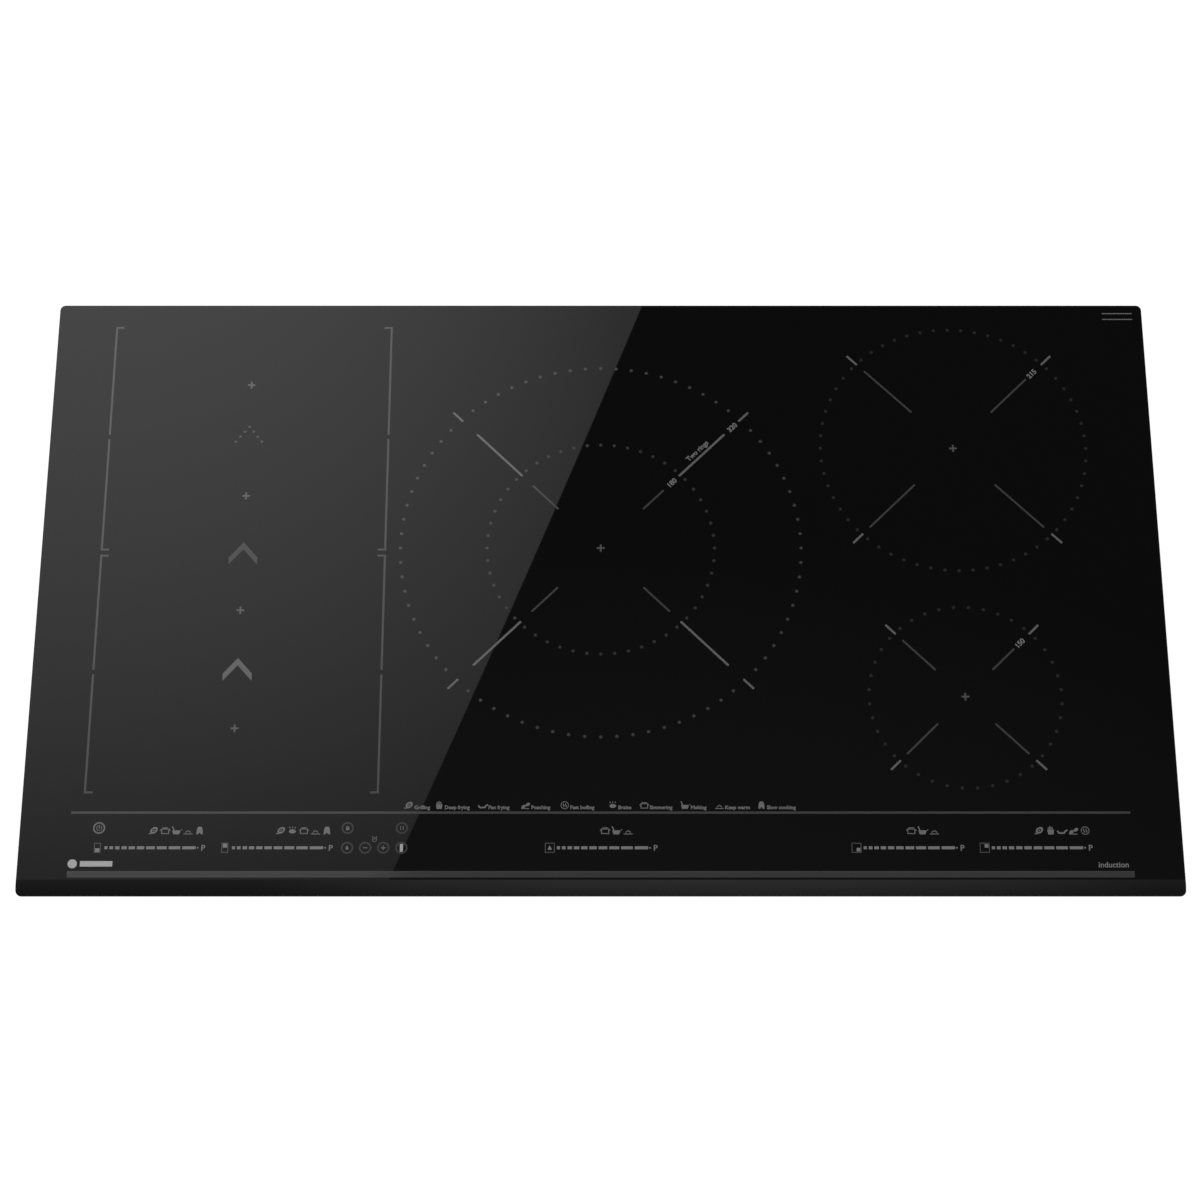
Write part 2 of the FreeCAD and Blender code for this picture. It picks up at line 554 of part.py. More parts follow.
def coil_springs():
    """Compression springs that press every carrier up against the glass."""
    low = Z_PLATE_TOP + COIL_SPRING_WIRE_R + 0.05
    spring = coil_spring(Z_CARRIER - COIL_SPRING_WIRE_R - 0.05 - low)
    return group([moved(spring, x, y, low) for x, y in ALL_LUGS])


def coil_screws():
    """Shoulder screws that guide the carriers and their springs."""
    screws = []
    for x, y in ALL_LUGS:
        shank = rod(x, y, Z_PLATE - 2.5, Z_LITZ + 1.0, COIL_SCREW_R)
        head = rod(x, y, Z_LITZ + 1.0, Z_LITZ + 1.0 + COIL_SCREW_HEAD_H, COIL_SCREW_HEAD_R)
        slot = block(x - COIL_SCREW_HEAD_R, x + COIL_SCREW_HEAD_R, y - 0.5, y + 0.5,
                     Z_LITZ + 1.0 + COIL_SCREW_HEAD_H - 0.9, Z_LITZ + 1.0 + COIL_SCREW_HEAD_H + 1)
        screws.append(cut(fuse(shank, [head]), slot))
    return group(screws)


# ================================================================ electronics
def post_places(x0):
    xs = (x0 + POST_INSET, x0 + BOARD_X / 3, x0 + BOARD_X - POST_INSET)
    return [(x, y) for x in xs for y in (BOARD_Y0 + POST_INSET, BOARD_Y0 + BOARD_Y - POST_INSET)]


PILLAR_XS, PILLAR_YS, PILLAR_R = (-35.0, 15.0), (-150.0, -5.0), 5.0
CARRIER_SHEET = 1.5


def board_carrier():
    """Plastic frame on the casing's floor that holds both power boards and props the coil plate."""
    top, y0, y1 = Z_FLOOR + CARRIER_SHEET, BOARD_Y0, BOARD_Y0 + BOARD_Y
    pads = []
    for x0 in (LEFT_BOARD_X0, RIGHT_BOARD_X0):
        pad = slab(x0 - 4, x0 + BOARD_X + 4, y0 - 4, y1 + 4, Z_FLOOR, top, 5.0)
        windows = [slab(x0 + 20 + 75 * i, x0 + 80 + 75 * i, y0 + 25, y1 - 25, Z_FLOOR - 1, top + 1, 5.0)
                   for i in range(4)]
        pads.append(cut(pad, windows))
    bridge = [block(LEFT_BOARD_X0 + BOARD_X, RIGHT_BOARD_X0, y - 15, y + 15, Z_FLOOR, top) for y in PILLAR_YS]
    places = [place for x0 in (LEFT_BOARD_X0, RIGHT_BOARD_X0) for place in post_places(x0)]
    posts = [rod(x, y, Z_FLOOR, Z_BOARD, POST_R) for x, y in places]
    pillars = [rod(x, y, Z_FLOOR, Z_PLATE, PILLAR_R) for x in PILLAR_XS for y in PILLAR_YS]
    bores = [rod(x, y, Z_FLOOR + 2, Z_BOARD + 1, SCREW_HOLE_R) for x, y in places]
    return cut(fuse(pads[0], pads[1:] + bridge + posts + pillars), bores)


Z_RELAY_TOP, PLUG_TOP = -26.0, -32.0


def power_board(x0):
    """Printed board, with its soldered relays and controller as solids of their own."""
    board = block(x0, x0 + BOARD_X, BOARD_Y0, BOARD_Y0 + BOARD_Y, Z_BOARD, Z_BOARD_TOP)
    board = cut(board, [rod(x, y, Z_BOARD - 1, Z_BOARD_TOP + 1, SCREW_HOLE_R) for x, y in post_places(x0)])
    y0 = BOARD_Y0 + 150
    relay_xs = [x0 + 62 + 18 * i for i in range(4)]
    relays = [block(x, x + 12, y0, y0 + 29, Z_BOARD_TOP, Z_RELAY_TOP) for x in relay_xs]
    controller = block(x0 + 250, x0 + 270, y0 + 10, y0 + 30, Z_BOARD_TOP, Z_BOARD_TOP + 2.2)
    return group([board, controller] + relays)


def heatsink(x0):
    """Finned aluminium extrusion on a board, with a side flange that the transistors sit on."""
    left, y0 = x0 + SINK_DX, BOARD_Y0 + 7
    y1, z0 = y0 + SINK_LENGTH, Z_BOARD_TOP
    base = block(left - SINK_FLANGE, left + SINK_WIDTH, y0, y1, z0, z0 + SINK_BASE_T)
    pitch = (SINK_WIDTH - SINK_FIN_T) / (SINK_FINS - 1)
    fin_xs = [left + pitch * i for i in range(SINK_FINS)]
    fins = [block(x, x + SINK_FIN_T, y0, y1, z0, SINK_TOP) for x in fin_xs]
    return fuse(base, fins)


def power_transistors():
    """Flat packages clamped on the heatsinks' flanges: four transistors and a bridge rectifier on each."""
    bodies = []
    z = Z_BOARD_TOP + SINK_BASE_T
    for x0 in (LEFT_BOARD_X0, RIGHT_BOARD_X0):
        for i in range(5):
            x, y = x0 + SINK_DX - SINK_FLANGE + 1, BOARD_Y0 + 20 + 38 * i
            package = block(x, x + 15.5, y, y + 20, z, z + 5)
            bodies.append(cut(package, rod(x + 7.7, y + 14, z - 1, z + 6, 1.8)))
    return group(bodies)


def capacitors():
    """Film capacitors and round bus capacitors on both boards."""
    bodies = []
    for x0 in (LEFT_BOARD_X0, RIGHT_BOARD_X0):
        for i in range(3):
            y = BOARD_Y0 + 20 + 24 * i
            film = block(x0 + 258, x0 + 290, y, y + 16, Z_BOARD_TOP, -22.0)
            bodies.append(film.makeFillet(1.0, [e for e in film.Edges if e.BoundBox.ZMin > -22.5]))
        for i in range(2):
            can = rod(x0 + 60 + 28 * i, BOARD_Y0 + 120, Z_BOARD_TOP, -21.0, 11.0)
            bodies.append(can.makeFillet(1.2, [e for e in can.Edges if e.BoundBox.ZMin > -21.5]))
    return group(bodies)


def chokes():
    """Ring-core chokes lying on both boards."""
    return group([Part.makeTorus(13.0, 6.0, V(x0 + 75, BOARD_Y0 + y, Z_BOARD_TOP + 6.0))
                  for x0 in (LEFT_BOARD_X0, RIGHT_BOARD_X0) for y in (30.0, 75.0)])


LEAD_R, LEAD_GAP, Z_LEAD, LEAD_BEND = 1.0, 2.6, -18.8, 3.0


def lead(plug, end, side):
    """One insulated wire: up from its plug, across under the plate, and up to the winding's underside."""
    run = V(end[0] - plug[0], end[1] - plug[1], 0).normalize()
    start = V(plug[0], plug[1], 0) + V(-run.y, run.x, 0) * (side * LEAD_GAP / 2)
    points = [V(start.x, start.y, PLUG_TOP), V(start.x, start.y, Z_LEAD), V(*end, Z_LEAD), V(*end, Z_LITZ)]
    edges, at = [], points[0]
    for i in (1, 2):
        before = (points[i - 1] - points[i]).normalize()
        after = (points[i + 1] - points[i]).normalize()
        bend_start, bend_end = points[i] + before * LEAD_BEND, points[i] + after * LEAD_BEND
        middle = points[i] + (before + after) * (LEAD_BEND * (1 - sqrt(0.5)))
        edges += [Part.makeLine(at, bend_start), Part.Arc(bend_start, middle, bend_end).toShape()]
        at = bend_end
    edges.append(Part.makeLine(at, points[-1]))
    section = Part.Wire(Part.makeCircle(LEAD_R, points[0], V(0, 0, 1)))
    return Part.Wire(edges).makePipeShell([section], True, False)


def turn_side(plug, inner, outer):
    """1 if the way to the outer end lies to the left of the way to the inner end, or else -1."""
    cross = (inner[0] - plug[0]) * (outer[1] - plug[1]) - (inner[1] - plug[1]) * (outer[0] - plug[0])
    return 1 if cross > 0 else -1


def wiring_harness():
    """The coil leads and the plugs that join them to the power boards."""
    solids = []
    for plug, (inner, outer) in LEADS:
        side = turn_side(plug, inner, outer)
        solids += [lead(plug, inner, -side), lead(plug, outer, side)]
        solids.append(block(plug[0] - 7, plug[0] + 7, plug[1] - 5, plug[1] + 5, Z_BOARD_TOP, PLUG_TOP))
    return group(solids)


# ================================================================ cooling fans
def fan_housing(x):
    """Blower housing: round chamber, side outlet, and a spider that carries the motor and the fixed shaft."""
    half = FAN_BOX / 2
    reach = half - FAN_SCREW_INSET
    body = slab(x - half, x + half, FAN_Y - half, FAN_Y + half, FAN_BOTTOM, FAN_TOP, 8.0)
    z0, z1 = FAN_BOTTOM + FAN_WALL, FAN_TOP - FAN_WALL
    tools = [rod(x, FAN_Y, z0, z1, FAN_CAVITY_R),
             block(x - 10, x + FAN_CAVITY_R, FAN_Y - half - 1, FAN_Y, z0, z1),
             rod(x, FAN_Y, FAN_BOTTOM - 1, z0 + 1, FAN_INTAKE_R)]
    for sx, sy in FAN_SCREW_CORNERS:
        cx, cy = x + sx * reach, FAN_Y + sy * reach
        tools.append(rod(cx, cy, FAN_BOTTOM - 1, FAN_TOP, SCREW_HOLE_R))
        tools.append(rod(cx, cy, FAN_BOTTOM + FAN_SCREW_LEDGE, FAN_TOP + 1, SCREW_HEAD_R + 0.3))
    shell = cut(body, tools)
    arm = block(x, x + FAN_INTAKE_R + 2, FAN_Y - 2.5, FAN_Y + 2.5, FAN_BOTTOM, z0)
    arms = [turned(arm, x, FAN_Y, 90 + 120 * i) for i in range(3)]
    motor = [rod(x, FAN_Y, FAN_BOTTOM, z0, 16.0), rod(x, FAN_Y, z0 - 0.5, FAN_BOTTOM + 16, 12.5),
             rod(x, FAN_Y, FAN_BOTTOM + 15, FAN_TOP - FAN_WALL - 3, FAN_SHAFT_R)]
    return fuse(shell, arms + motor)


def fan_rotor(x):
    """Blower wheel: a hollow hub, a top disc, forward-leaning blades and a shroud ring."""
    z0, z1 = FAN_BOTTOM + FAN_WALL + 0.8, FAN_TOP - FAN_WALL - 2.5
    disc = rod(x, FAN_Y, z1 - 1.6, z1, FAN_WHEEL_R)
    hub = tube(x, FAN_Y, z0 + 1, z1, FAN_HUB_R, FAN_HUB_R - 2.5)
    boss = rod(x, FAN_Y, z1 - 4.5, z1, 5.0)
    shroud = tube(x, FAN_Y, z0, z0 + 1.6, FAN_WHEEL_R, FAN_WHEEL_R - 5)
    blade = block(x + FAN_WHEEL_R - 13, x + FAN_WHEEL_R - 0.8, FAN_Y - 0.6, FAN_Y + 0.6, z0 + 0.5, z1 - 0.5)
    blade.rotate(V(x + FAN_WHEEL_R - 6.5, FAN_Y, 0), V(0, 0, 1), 32)
    limit = rod(x, FAN_Y, z0, z1, FAN_WHEEL_R)
    blades = [turned(blade.common(limit), x, FAN_Y, 360.0 / FAN_BLADES * i) for i in range(FAN_BLADES)]
    wheel = fuse(disc, [hub, boss, shroud] + blades)
    return cut(wheel, rod(x, FAN_Y, z0 - 1, z1 + 1, FAN_SHAFT_R + RUNNING_CLEARANCE))


# ================================================================ mains connection
TERMINALS, TERMINAL_PITCH, TERMINAL_X0 = 6, 12.0, 318.0
STRIP_Y0, STRIP_Y1, Z_STRIP, Z_CLAMPS = 166.0, 190.0, -40.0, -45.0
EAR_T, SADDLE_Y0, SADDLE_Y1, SADDLE_T, SADDLE_SCREW_DX = 2.0, 206.0, 214.0, 7.0, 14.0
Z_SADDLE = CABLE_Z - 8.0


def terminal_block():
    """Plastic connection box over the opening in the casing's floor, with a barrier strip moulded inside."""
    box = slab(BOX_X0, BOX_X1, BOX_Y0, BOX_Y1, Z_FLOOR, BOX_TOP, 3.0)
    hollow = block(BOX_X0 + BOX_WALL, BOX_X1 - BOX_WALL, BOX_Y0 + BOX_WALL, BOX_Y1 - BOX_WALL,
                   Z_FLOOR - 1, BOX_TOP - BOX_WALL)
    ears = [slab(x - 8, x + 8, y - 8, y + 10, Z_FLOOR, Z_FLOOR + EAR_T, 2.0) for x, y in EAR_SCREWS]
    ear_holes = [rod(x, y, Z_FLOOR - 1, Z_FLOOR + 5, SCREW_HOLE_R) for x, y in EAR_SCREWS]
    shell = cut(fuse(box, ears), [hollow] + ear_holes)
    x0, pitch = TERMINAL_X0 - TERMINAL_PITCH / 2, TERMINAL_PITCH
    strip = [block(x0, x0 + TERMINALS * pitch, STRIP_Y0, STRIP_Y1, Z_STRIP, BOX_TOP - 1)]
    strip += [block(x0 + pitch * i - 1, x0 + pitch * i + 1, STRIP_Y0 - 3, STRIP_Y1 + 3, Z_CLAMPS, BOX_TOP - 1)
              for i in range(TERMINALS + 1)]
    saddle_y = (SADDLE_Y0 + SADDLE_Y1) / 2
    post_xs = [CABLE_X - SADDLE_SCREW_DX, CABLE_X + SADDLE_SCREW_DX]
    posts = [rod(x, saddle_y, Z_SADDLE + SADDLE_T, BOX_TOP - 1, 3.5) for x in post_xs]
    tools = [rod(x, saddle_y, Z_SADDLE, BOX_TOP - 4, SCREW_HOLE_R) for x in post_xs]
    tools.append(bar_y(CABLE_X, BOX_Y1 - 6, BOX_Y1 + 1, CABLE_Z, GLAND_R + FIT_GAP / 2))
    tools += [bar_x(x - 3, x + 3, COVER_PIVOT_Y, COVER_PIVOT_Z, COVER_PIN_R + RUNNING_CLEARANCE)
              for x in (BOX_X0 + 1, BOX_X1 - 1)]
    return cut(fuse(shell, strip + posts), tools)


def terminal_clamps():
    """Brass clamp blocks between the barriers, each with two screws that face the opening."""
    solids = []
    for i in range(TERMINALS):
        x = TERMINAL_X0 + TERMINAL_PITCH * i
        body = block(x - 4, x + 4, STRIP_Y0 + 1, STRIP_Y1 - 1, Z_CLAMPS, Z_STRIP)
        solids.append(cut(body, bar_y(x, STRIP_Y0, STRIP_Y1, (Z_CLAMPS + Z_STRIP) / 2, 1.8)))
        for y in (STRIP_Y0 + 5, STRIP_Y1 - 5):
            head = rod(x, y, Z_CLAMPS - 1.5, Z_CLAMPS, 2.6)
            solids.append(cut(head, block(x - 3, x + 3, y - 0.4, y + 0.4, Z_CLAMPS - 2, Z_CLAMPS - 0.8)))
    return group(solids)


def terminal_cover():
    """Hinged lid, flush in the casing's floor, that opens downwards on two pins."""
    x0, x1 = OPENING_X0 + 1, OPENING_X1 - 1
    lid = slab(x0, x1, OPENING_Y0 + 1, COVER_PIVOT_Y - 1, Z_BASE + 0.2, Z_BASE + 0.2 + COVER_T, 1.5)
    barrel = bar_x(x0, x1, COVER_PIVOT_Y, COVER_PIVOT_Z, COVER_BARREL_R)
    pins = bar_x(BOX_X0 + 0.2, BOX_X1 - 0.2, COVER_PIVOT_Y, COVER_PIVOT_Z, COVER_PIN_R)
    ribs = [block(x, x + 1.5, OPENING_Y0 + 8, COVER_PIVOT_Y - 6, Z_BASE + 2, Z_BASE + 4)
            for x in (325.0, 370.0)]
    notch = slab(343.0, 353.0, OPENING_Y0 - 5, OPENING_Y0 + 4, Z_BASE - 1, Z_BASE + 4, 2.0)
    return cut(fuse(lid, [barrel, pins] + ribs), notch)


def cable_clamp():
    """Strain-relief saddle that two screws pull up against the cable, just inside the gland."""
    saddle = slab(CABLE_X - 19, CABLE_X + 19, SADDLE_Y0, SADDLE_Y1, Z_SADDLE, Z_SADDLE + SADDLE_T, 2.0)
    middle = (SADDLE_Y0 + SADDLE_Y1) / 2
    tools = [rod(CABLE_X + s * SADDLE_SCREW_DX, middle, Z_SADDLE - 1, Z_SADDLE + SADDLE_T + 1, SCREW_HOLE_R)
             for s in (-1, 1)]
    tools.append(bar_y(CABLE_X, SADDLE_Y0 - 5, SADDLE_Y1 + 5, CABLE_Z, CABLE_BORE_R + 0.5))
    return cut(saddle, tools)


GLAND_FLANGE_R, GLAND_Y0, GLAND_Y1 = 11.5, 224.0, 240.0


def cable_gland():
    """Bushing through the casing's rear wall that the supply cable passes."""
    barrel = bar_y(CABLE_X, GLAND_Y0, GLAND_Y1, CABLE_Z, GLAND_R)
    wall = CASING_Y / 2
    flange = bar_y(CABLE_X, wall, GLAND_Y1, CABLE_Z, GLAND_FLANGE_R)
    lip = bar_y(CABLE_X, wall - SHEET - 3.0, wall - SHEET, CABLE_Z, GLAND_R + 1.5)
    return cut(fuse(barrel, [flange, lip]), bar_y(CABLE_X, GLAND_Y0 - 1, GLAND_Y1 + 1, CABLE_Z, CABLE_BORE_R))


# ================================================================ touch control
TOUCH_LEGS = [(-330.0, -209.0), (-100.0, -209.0), (110.0, -209.0), (330.0, -209.0)]
HOLDER_T = 1.6


def touch_holder():
    """Long plastic trough under the front of the glass, on four legs, that holds the touch board."""
    z0, z1 = Z_TOUCH_BOARD - 4.0, 1.5
    trough = slab(-TOUCH_X, TOUCH_X, TOUCH_Y0, TOUCH_Y1, z0, z1, 4.0)
    inside = slab(-TOUCH_X + HOLDER_T, TOUCH_X - HOLDER_T, TOUCH_Y0 + HOLDER_T, TOUCH_Y1 - HOLDER_T,
                  z0 + HOLDER_T, z1 + 1, 3.0)
    ledges = [block(x - 3, x + 3, TOUCH_Y0 + 1, TOUCH_Y1 - 1, z0 + 1, Z_TOUCH_BOARD)
              for x in (-390, -200, 0, 200, 390)]
    legs = [rod(x, y, Z_FLOOR, z0 + 1, 6.0) for x, y in TOUCH_LEGS]
    return fuse(cut(trough, inside), ledges + legs)


def touch_board():
    return slab(-TOUCH_BOARD_X, TOUCH_BOARD_X, TOUCH_BOARD_Y0, TOUCH_BOARD_Y1,
                Z_TOUCH_BOARD, Z_TOUCH_BOARD + BOARD_T, 1.5)


def key_places():
    pitch = SLIDER_LENGTH / (SLIDER_KEYS - 1)
    sliders = [(x - SLIDER_LENGTH / 2 + pitch * i, SLIDER_Y)
               for x in SLIDER_CENTRES for i in range(SLIDER_KEYS)]
    return sliders + list(FUNCTION_KEYS)


def touch_springs():
    """Hollow foam-and-spring contacts that carry the touch signal up to the underside of the glass."""
    z0 = Z_TOUCH_BOARD + BOARD_T
    return group([tube(x, y, z0, Z_GLASS, 3.4, 2.6) for x, y in key_places()])


def light_guides():
    """Clear blocks over the display diodes: one figure window for each slider, between it and its icons."""
    z0 = Z_TOUCH_BOARD + BOARD_T
    return group([slab(x - 9, x + 9, SLIDER_Y + 5.5, SLIDER_Y + 11.0, z0, 1.6, 1.0) for x in SLIDER_CENTRES])


# ================================================================ fixing springs
SEAT_SCREW_Z = -38.0
SEAT_PLATE_T, SEAT_Z0 = 1.2, -45.0


def leaned(shape):
    """Turn a shape drawn upright over the bead to the angle at which the leaf leans out."""
    shape.rotate(V(SPRING_ROOT_X, 0, SPRING_ROOT_Z), V(0, 1, 0), SPRING_LEAN)
    return shape


def fixing_bracket(y):
    """Right-hand seat screwed to the casing's side, with an open eye that the leaf spring's bead turns in."""
    wall, x, z = CASING_X / 2, SPRING_ROOT_X, SPRING_ROOT_Z
    y0, y1 = y - SEAT_WIDTH / 2, y + SEAT_WIDTH / 2
    plate = block(wall, wall + SEAT_PLATE_T, y0, y1, SEAT_Z0, z)
    eye = bar_y(x, y0, y1, z, SEAT_R)
    web = block(wall, x, y0, y1, z - SEAT_R, z)
    bore = bar_y(x, y0 - 1, y1 + 1, z, SPRING_BEAD_R + RUNNING_CLEARANCE)
    reach, gap = 5.0, SPRING_T / 2 + 0.2
    swing = reach * sin(radians(SPRING_SWING + 1))
    mouth = leaned(profile_y([(x + gap, z), (x + gap, z + reach), (x - gap - swing, z + reach), (x - gap, z)],
                             y0 - 1, y1 + 1))
    hole = Part.makeCylinder(SCREW_HOLE_R, 6, V(wall - 2, y, SEAT_SCREW_Z), V(1, 0, 0))
    return cut(fuse(plate, [eye, web]), [bore, mouth, hole])


def leaf_spring(y):
    """Right-hand leaf: a round bead at the root, a leg that leans out past the cut-out, a turned-in tip."""
    x, z, half_t = SPRING_ROOT_X, SPRING_ROOT_Z, SPRING_T / 2
    y0, y1 = y - SPRING_WIDTH / 2, y + SPRING_WIDTH / 2
    knee = z + SPRING_LEG
    leg = block(x - half_t, x + half_t, y0, y1, z, knee)
    tip = block(x - half_t, x + half_t, y0, y1, knee, knee + SPRING_TIP)
    tip.rotate(V(x, 0, knee), V(0, 1, 0), -SPRING_FOLD)
    pin = bar_y(x, y0, y1, knee, half_t)
    return leaned(fuse(leg, [tip, pin, bar_y(x, y0, y1, z, SPRING_BEAD_R)]))


def mirrored(shape):
    return shape.mirror(V(0, 0, 0), V(1, 0, 0))


def fixing_brackets():
    right = [fixing_bracket(y) for y in (-SPRING_Y, SPRING_Y)]
    return group(right + [mirrored(s) for s in right])


# ================================================================ screws
def pan_screws():
    """Every pan-head self-tapping screw, from the frame's to the terminal block's and the fixing seats'."""
    screws = [pan_screw(x, y, WALL_SCREW_Z, d, WALL_SCREW_LENGTH) for x, y, d in wall_screw_places()]
    screws += [pan_screw(x, y, Z_FLOOR + PLATE_T, (0, 0, -1), PLATE_T + SHEET) for x, y in FLOOR_SCREWS]
    screws += [pan_screw(x, y, Z_BOARD_TOP, (0, 0, -1), 5.0)
               for x0 in (LEFT_BOARD_X0, RIGHT_BOARD_X0) for x, y in post_places(x0)]
    screws += [pan_screw(x, y, FAN_BOTTOM + FAN_SCREW_LEDGE, (0, 0, -1), FAN_SCREW_LEDGE + SHEET)
               for x, y in fan_screws()]
    screws += [pan_screw(x, y, Z_FLOOR + EAR_T, (0, 0, -1), EAR_T + SHEET) for x, y in EAR_SCREWS]
    saddle_y = (SADDLE_Y0 + SADDLE_Y1) / 2
    screws += [pan_screw(CABLE_X + s * SADDLE_SCREW_DX, saddle_y, Z_SADDLE, (0, 0, 1), 13.0) for s in (-1, 1)]
    x = CASING_X / 2 + SEAT_PLATE_T
    screws += [pan_screw(side * x, y, SEAT_SCREW_Z, (-side, 0, 0), 4.0)
               for side in (-1, 1) for y in (-SPRING_Y, SPRING_Y)]
    return group(screws)


# ================================================================ the assembly
def coil_nodes():
    nodes = {}
    for name, y in (("flex_rear", FLEX_REAR_Y), ("flex_front", FLEX_FRONT_Y)):
        nodes[name + "_carrier"] = flex_carrier(y, LUGS[name])
        nodes[name + "_winding"] = flex_winding(y)
        nodes[name + "_ferrites"] = flex_ferrites(y)
        nodes[name + "_mica"] = flex_mica(y)
        nodes[name + "_sensors"] = sensors(flex_oval_centres(y))
    for name, centre, radius, radii, bars in (
            ("centre", CENTRE, CENTRE_R, CENTRE_RADII, 12),
            ("rear_right", REAR_RIGHT, REAR_RIGHT_R, REAR_RIGHT_RADII, 8),
            ("front_right", FRONT_RIGHT, FRONT_RIGHT_R, FRONT_RIGHT_RADII, 6)):
        nodes[name + "_carrier"] = round_carrier(centre, radius, bars, LUGS[name])
        nodes[name + "_winding"] = round_winding(centre, radii)
        nodes[name + "_ferrites"] = round_ferrites(centre, radius, bars)
        nodes[name + "_mica"] = round_mica(centre, radius)
        nodes[name + "_sensor"] = sensors([centre])
    return nodes


def assembly():
    nodes = {
        "glass_top": glass_top(),
        "worktop_seal": worktop_seal(),
        "glass_adhesive": glass_adhesive(),
        "glass_frame": glass_frame(),
        "bottom_tray": bottom_tray(),
        "coil_plate": coil_plate(),
        "coil_springs": coil_springs(),
        "coil_screws": coil_screws(),
        "board_carrier": board_carrier(),
        "power_board_left": power_board(LEFT_BOARD_X0),
        "power_board_right": power_board(RIGHT_BOARD_X0),
        "heatsinks": group([heatsink(LEFT_BOARD_X0), heatsink(RIGHT_BOARD_X0)]),
        "power_transistors": power_transistors(),
        "capacitors": capacitors(),
        "chokes": chokes(),
        "wiring_harness": wiring_harness(),
        "fan_housing_left": fan_housing(LEFT_FAN_X),
        "fan_rotor_left": fan_rotor(LEFT_FAN_X),
        "fan_housing_right": fan_housing(RIGHT_FAN_X),
        "fan_rotor_right": fan_rotor(RIGHT_FAN_X),
        "terminal_block": terminal_block(),
        "terminal_clamps": terminal_clamps(),
        "terminal_cover": terminal_cover(),
        "cable_clamp": cable_clamp(),
        "cable_gland": cable_gland(),
        "touch_holder": touch_holder(),
        "touch_board": touch_board(),
        "touch_springs": touch_springs(),
        "light_guides": light_guides(),
        "fixing_brackets": fixing_brackets(),
        "pan_screws": pan_screws(),
    }
    for end, y in (("rear", SPRING_Y), ("front", -SPRING_Y)):
        nodes["fixing_spring_" + end + "_right"] = leaf_spring(y)
        nodes["fixing_spring_" + end + "_left"] = mirrored(leaf_spring(y))
    nodes.update(coil_nodes())
    return nodes


os.makedirs(OUT, exist_ok=True)
for node, shape in assembly().items():
    shape.exportStep(os.path.join(OUT, node + ".step"))
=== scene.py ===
"""Looks of a built-in induction hob, 900 x 510 mm, around its CAD frame.

Places come from the frame: zone centres from the sensors, touch keys from the contact springs, sliders from
the light guides, and the glass from its own box. The frame is in metres, X to the user's right, Y away from
the user and Z up. Sizes of the printed pattern are given in millimetres and turned into metres by MM.
"""

from math import atan2, cos, pi, radians, sin

import bmesh
import bpy
from mathutils import Matrix, Vector

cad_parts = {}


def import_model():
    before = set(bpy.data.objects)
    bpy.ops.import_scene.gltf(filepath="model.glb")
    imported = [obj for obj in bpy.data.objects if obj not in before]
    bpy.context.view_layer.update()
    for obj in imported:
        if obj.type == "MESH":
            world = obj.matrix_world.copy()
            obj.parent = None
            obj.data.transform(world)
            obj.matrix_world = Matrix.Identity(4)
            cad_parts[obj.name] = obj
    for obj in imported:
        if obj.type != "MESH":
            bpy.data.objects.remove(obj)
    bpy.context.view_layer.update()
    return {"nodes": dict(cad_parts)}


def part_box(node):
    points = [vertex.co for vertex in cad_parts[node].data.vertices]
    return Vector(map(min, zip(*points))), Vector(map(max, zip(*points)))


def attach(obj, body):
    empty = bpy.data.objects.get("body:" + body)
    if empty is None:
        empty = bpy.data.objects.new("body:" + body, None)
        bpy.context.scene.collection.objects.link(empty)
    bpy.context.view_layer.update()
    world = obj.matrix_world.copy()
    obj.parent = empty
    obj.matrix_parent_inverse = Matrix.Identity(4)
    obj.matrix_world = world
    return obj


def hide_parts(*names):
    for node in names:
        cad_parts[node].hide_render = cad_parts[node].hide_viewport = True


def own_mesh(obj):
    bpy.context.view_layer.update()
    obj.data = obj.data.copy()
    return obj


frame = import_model()
MM = 0.001
WELD = 0.0001 * MM


# ================================================================ places taken from the frame
def middle(node):
    low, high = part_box(node)
    return (low + high) / 2


def welded(node):
    """A copy of a node's mesh with its split vertices joined again."""
    mesh = bmesh.new()
    mesh.from_mesh(frame["nodes"][node].data)
    bmesh.ops.remove_doubles(mesh, verts=mesh.verts, dist=WELD)
    mesh.verts.ensure_lookup_table()
    return mesh


def solid_centres(node):
    """The middle of each separate solid of a node, in millimetres, from left to right."""
    mesh = welded(node)
    left = set(mesh.verts)
    centres = []
    while left:
        waiting = [left.pop()]
        xs, ys = [], []
        while waiting:
            vertex = waiting.pop()
            xs.append(vertex.co.x)
            ys.append(vertex.co.y)
            for edge in vertex.link_edges:
                other = edge.other_vert(vertex)
                if other in left:
                    left.remove(other)
                    waiting.append(other)
        centres.append(((min(xs) + max(xs)) / 2 / MM, (min(ys) + max(ys)) / 2 / MM))
    mesh.free()
    return sorted(centres)


GLASS_LOW, GLASS_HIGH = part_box("glass_top")
GLASS_TOP = GLASS_HIGH.z
CASING_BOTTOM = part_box("bottom_tray")[0].z
PRINT_LOW, PRINT_HIGH = GLASS_TOP + 0.004 * MM, GLASS_TOP + 0.04 * MM

CENTRE = tuple(middle("centre_sensor") / MM)[:2]
REAR_RIGHT = tuple(middle("rear_right_sensor") / MM)[:2]
FRONT_RIGHT = tuple(middle("front_right_sensor") / MM)[:2]
FLEX_REAR = tuple(middle("flex_rear_sensors") / MM)[:2]
FLEX_FRONT = tuple(middle("flex_front_sensors") / MM)[:2]
FLEX_X = FLEX_REAR[0]
FLEX_CROSSES = solid_centres("flex_rear_sensors") + solid_centres("flex_front_sensors")

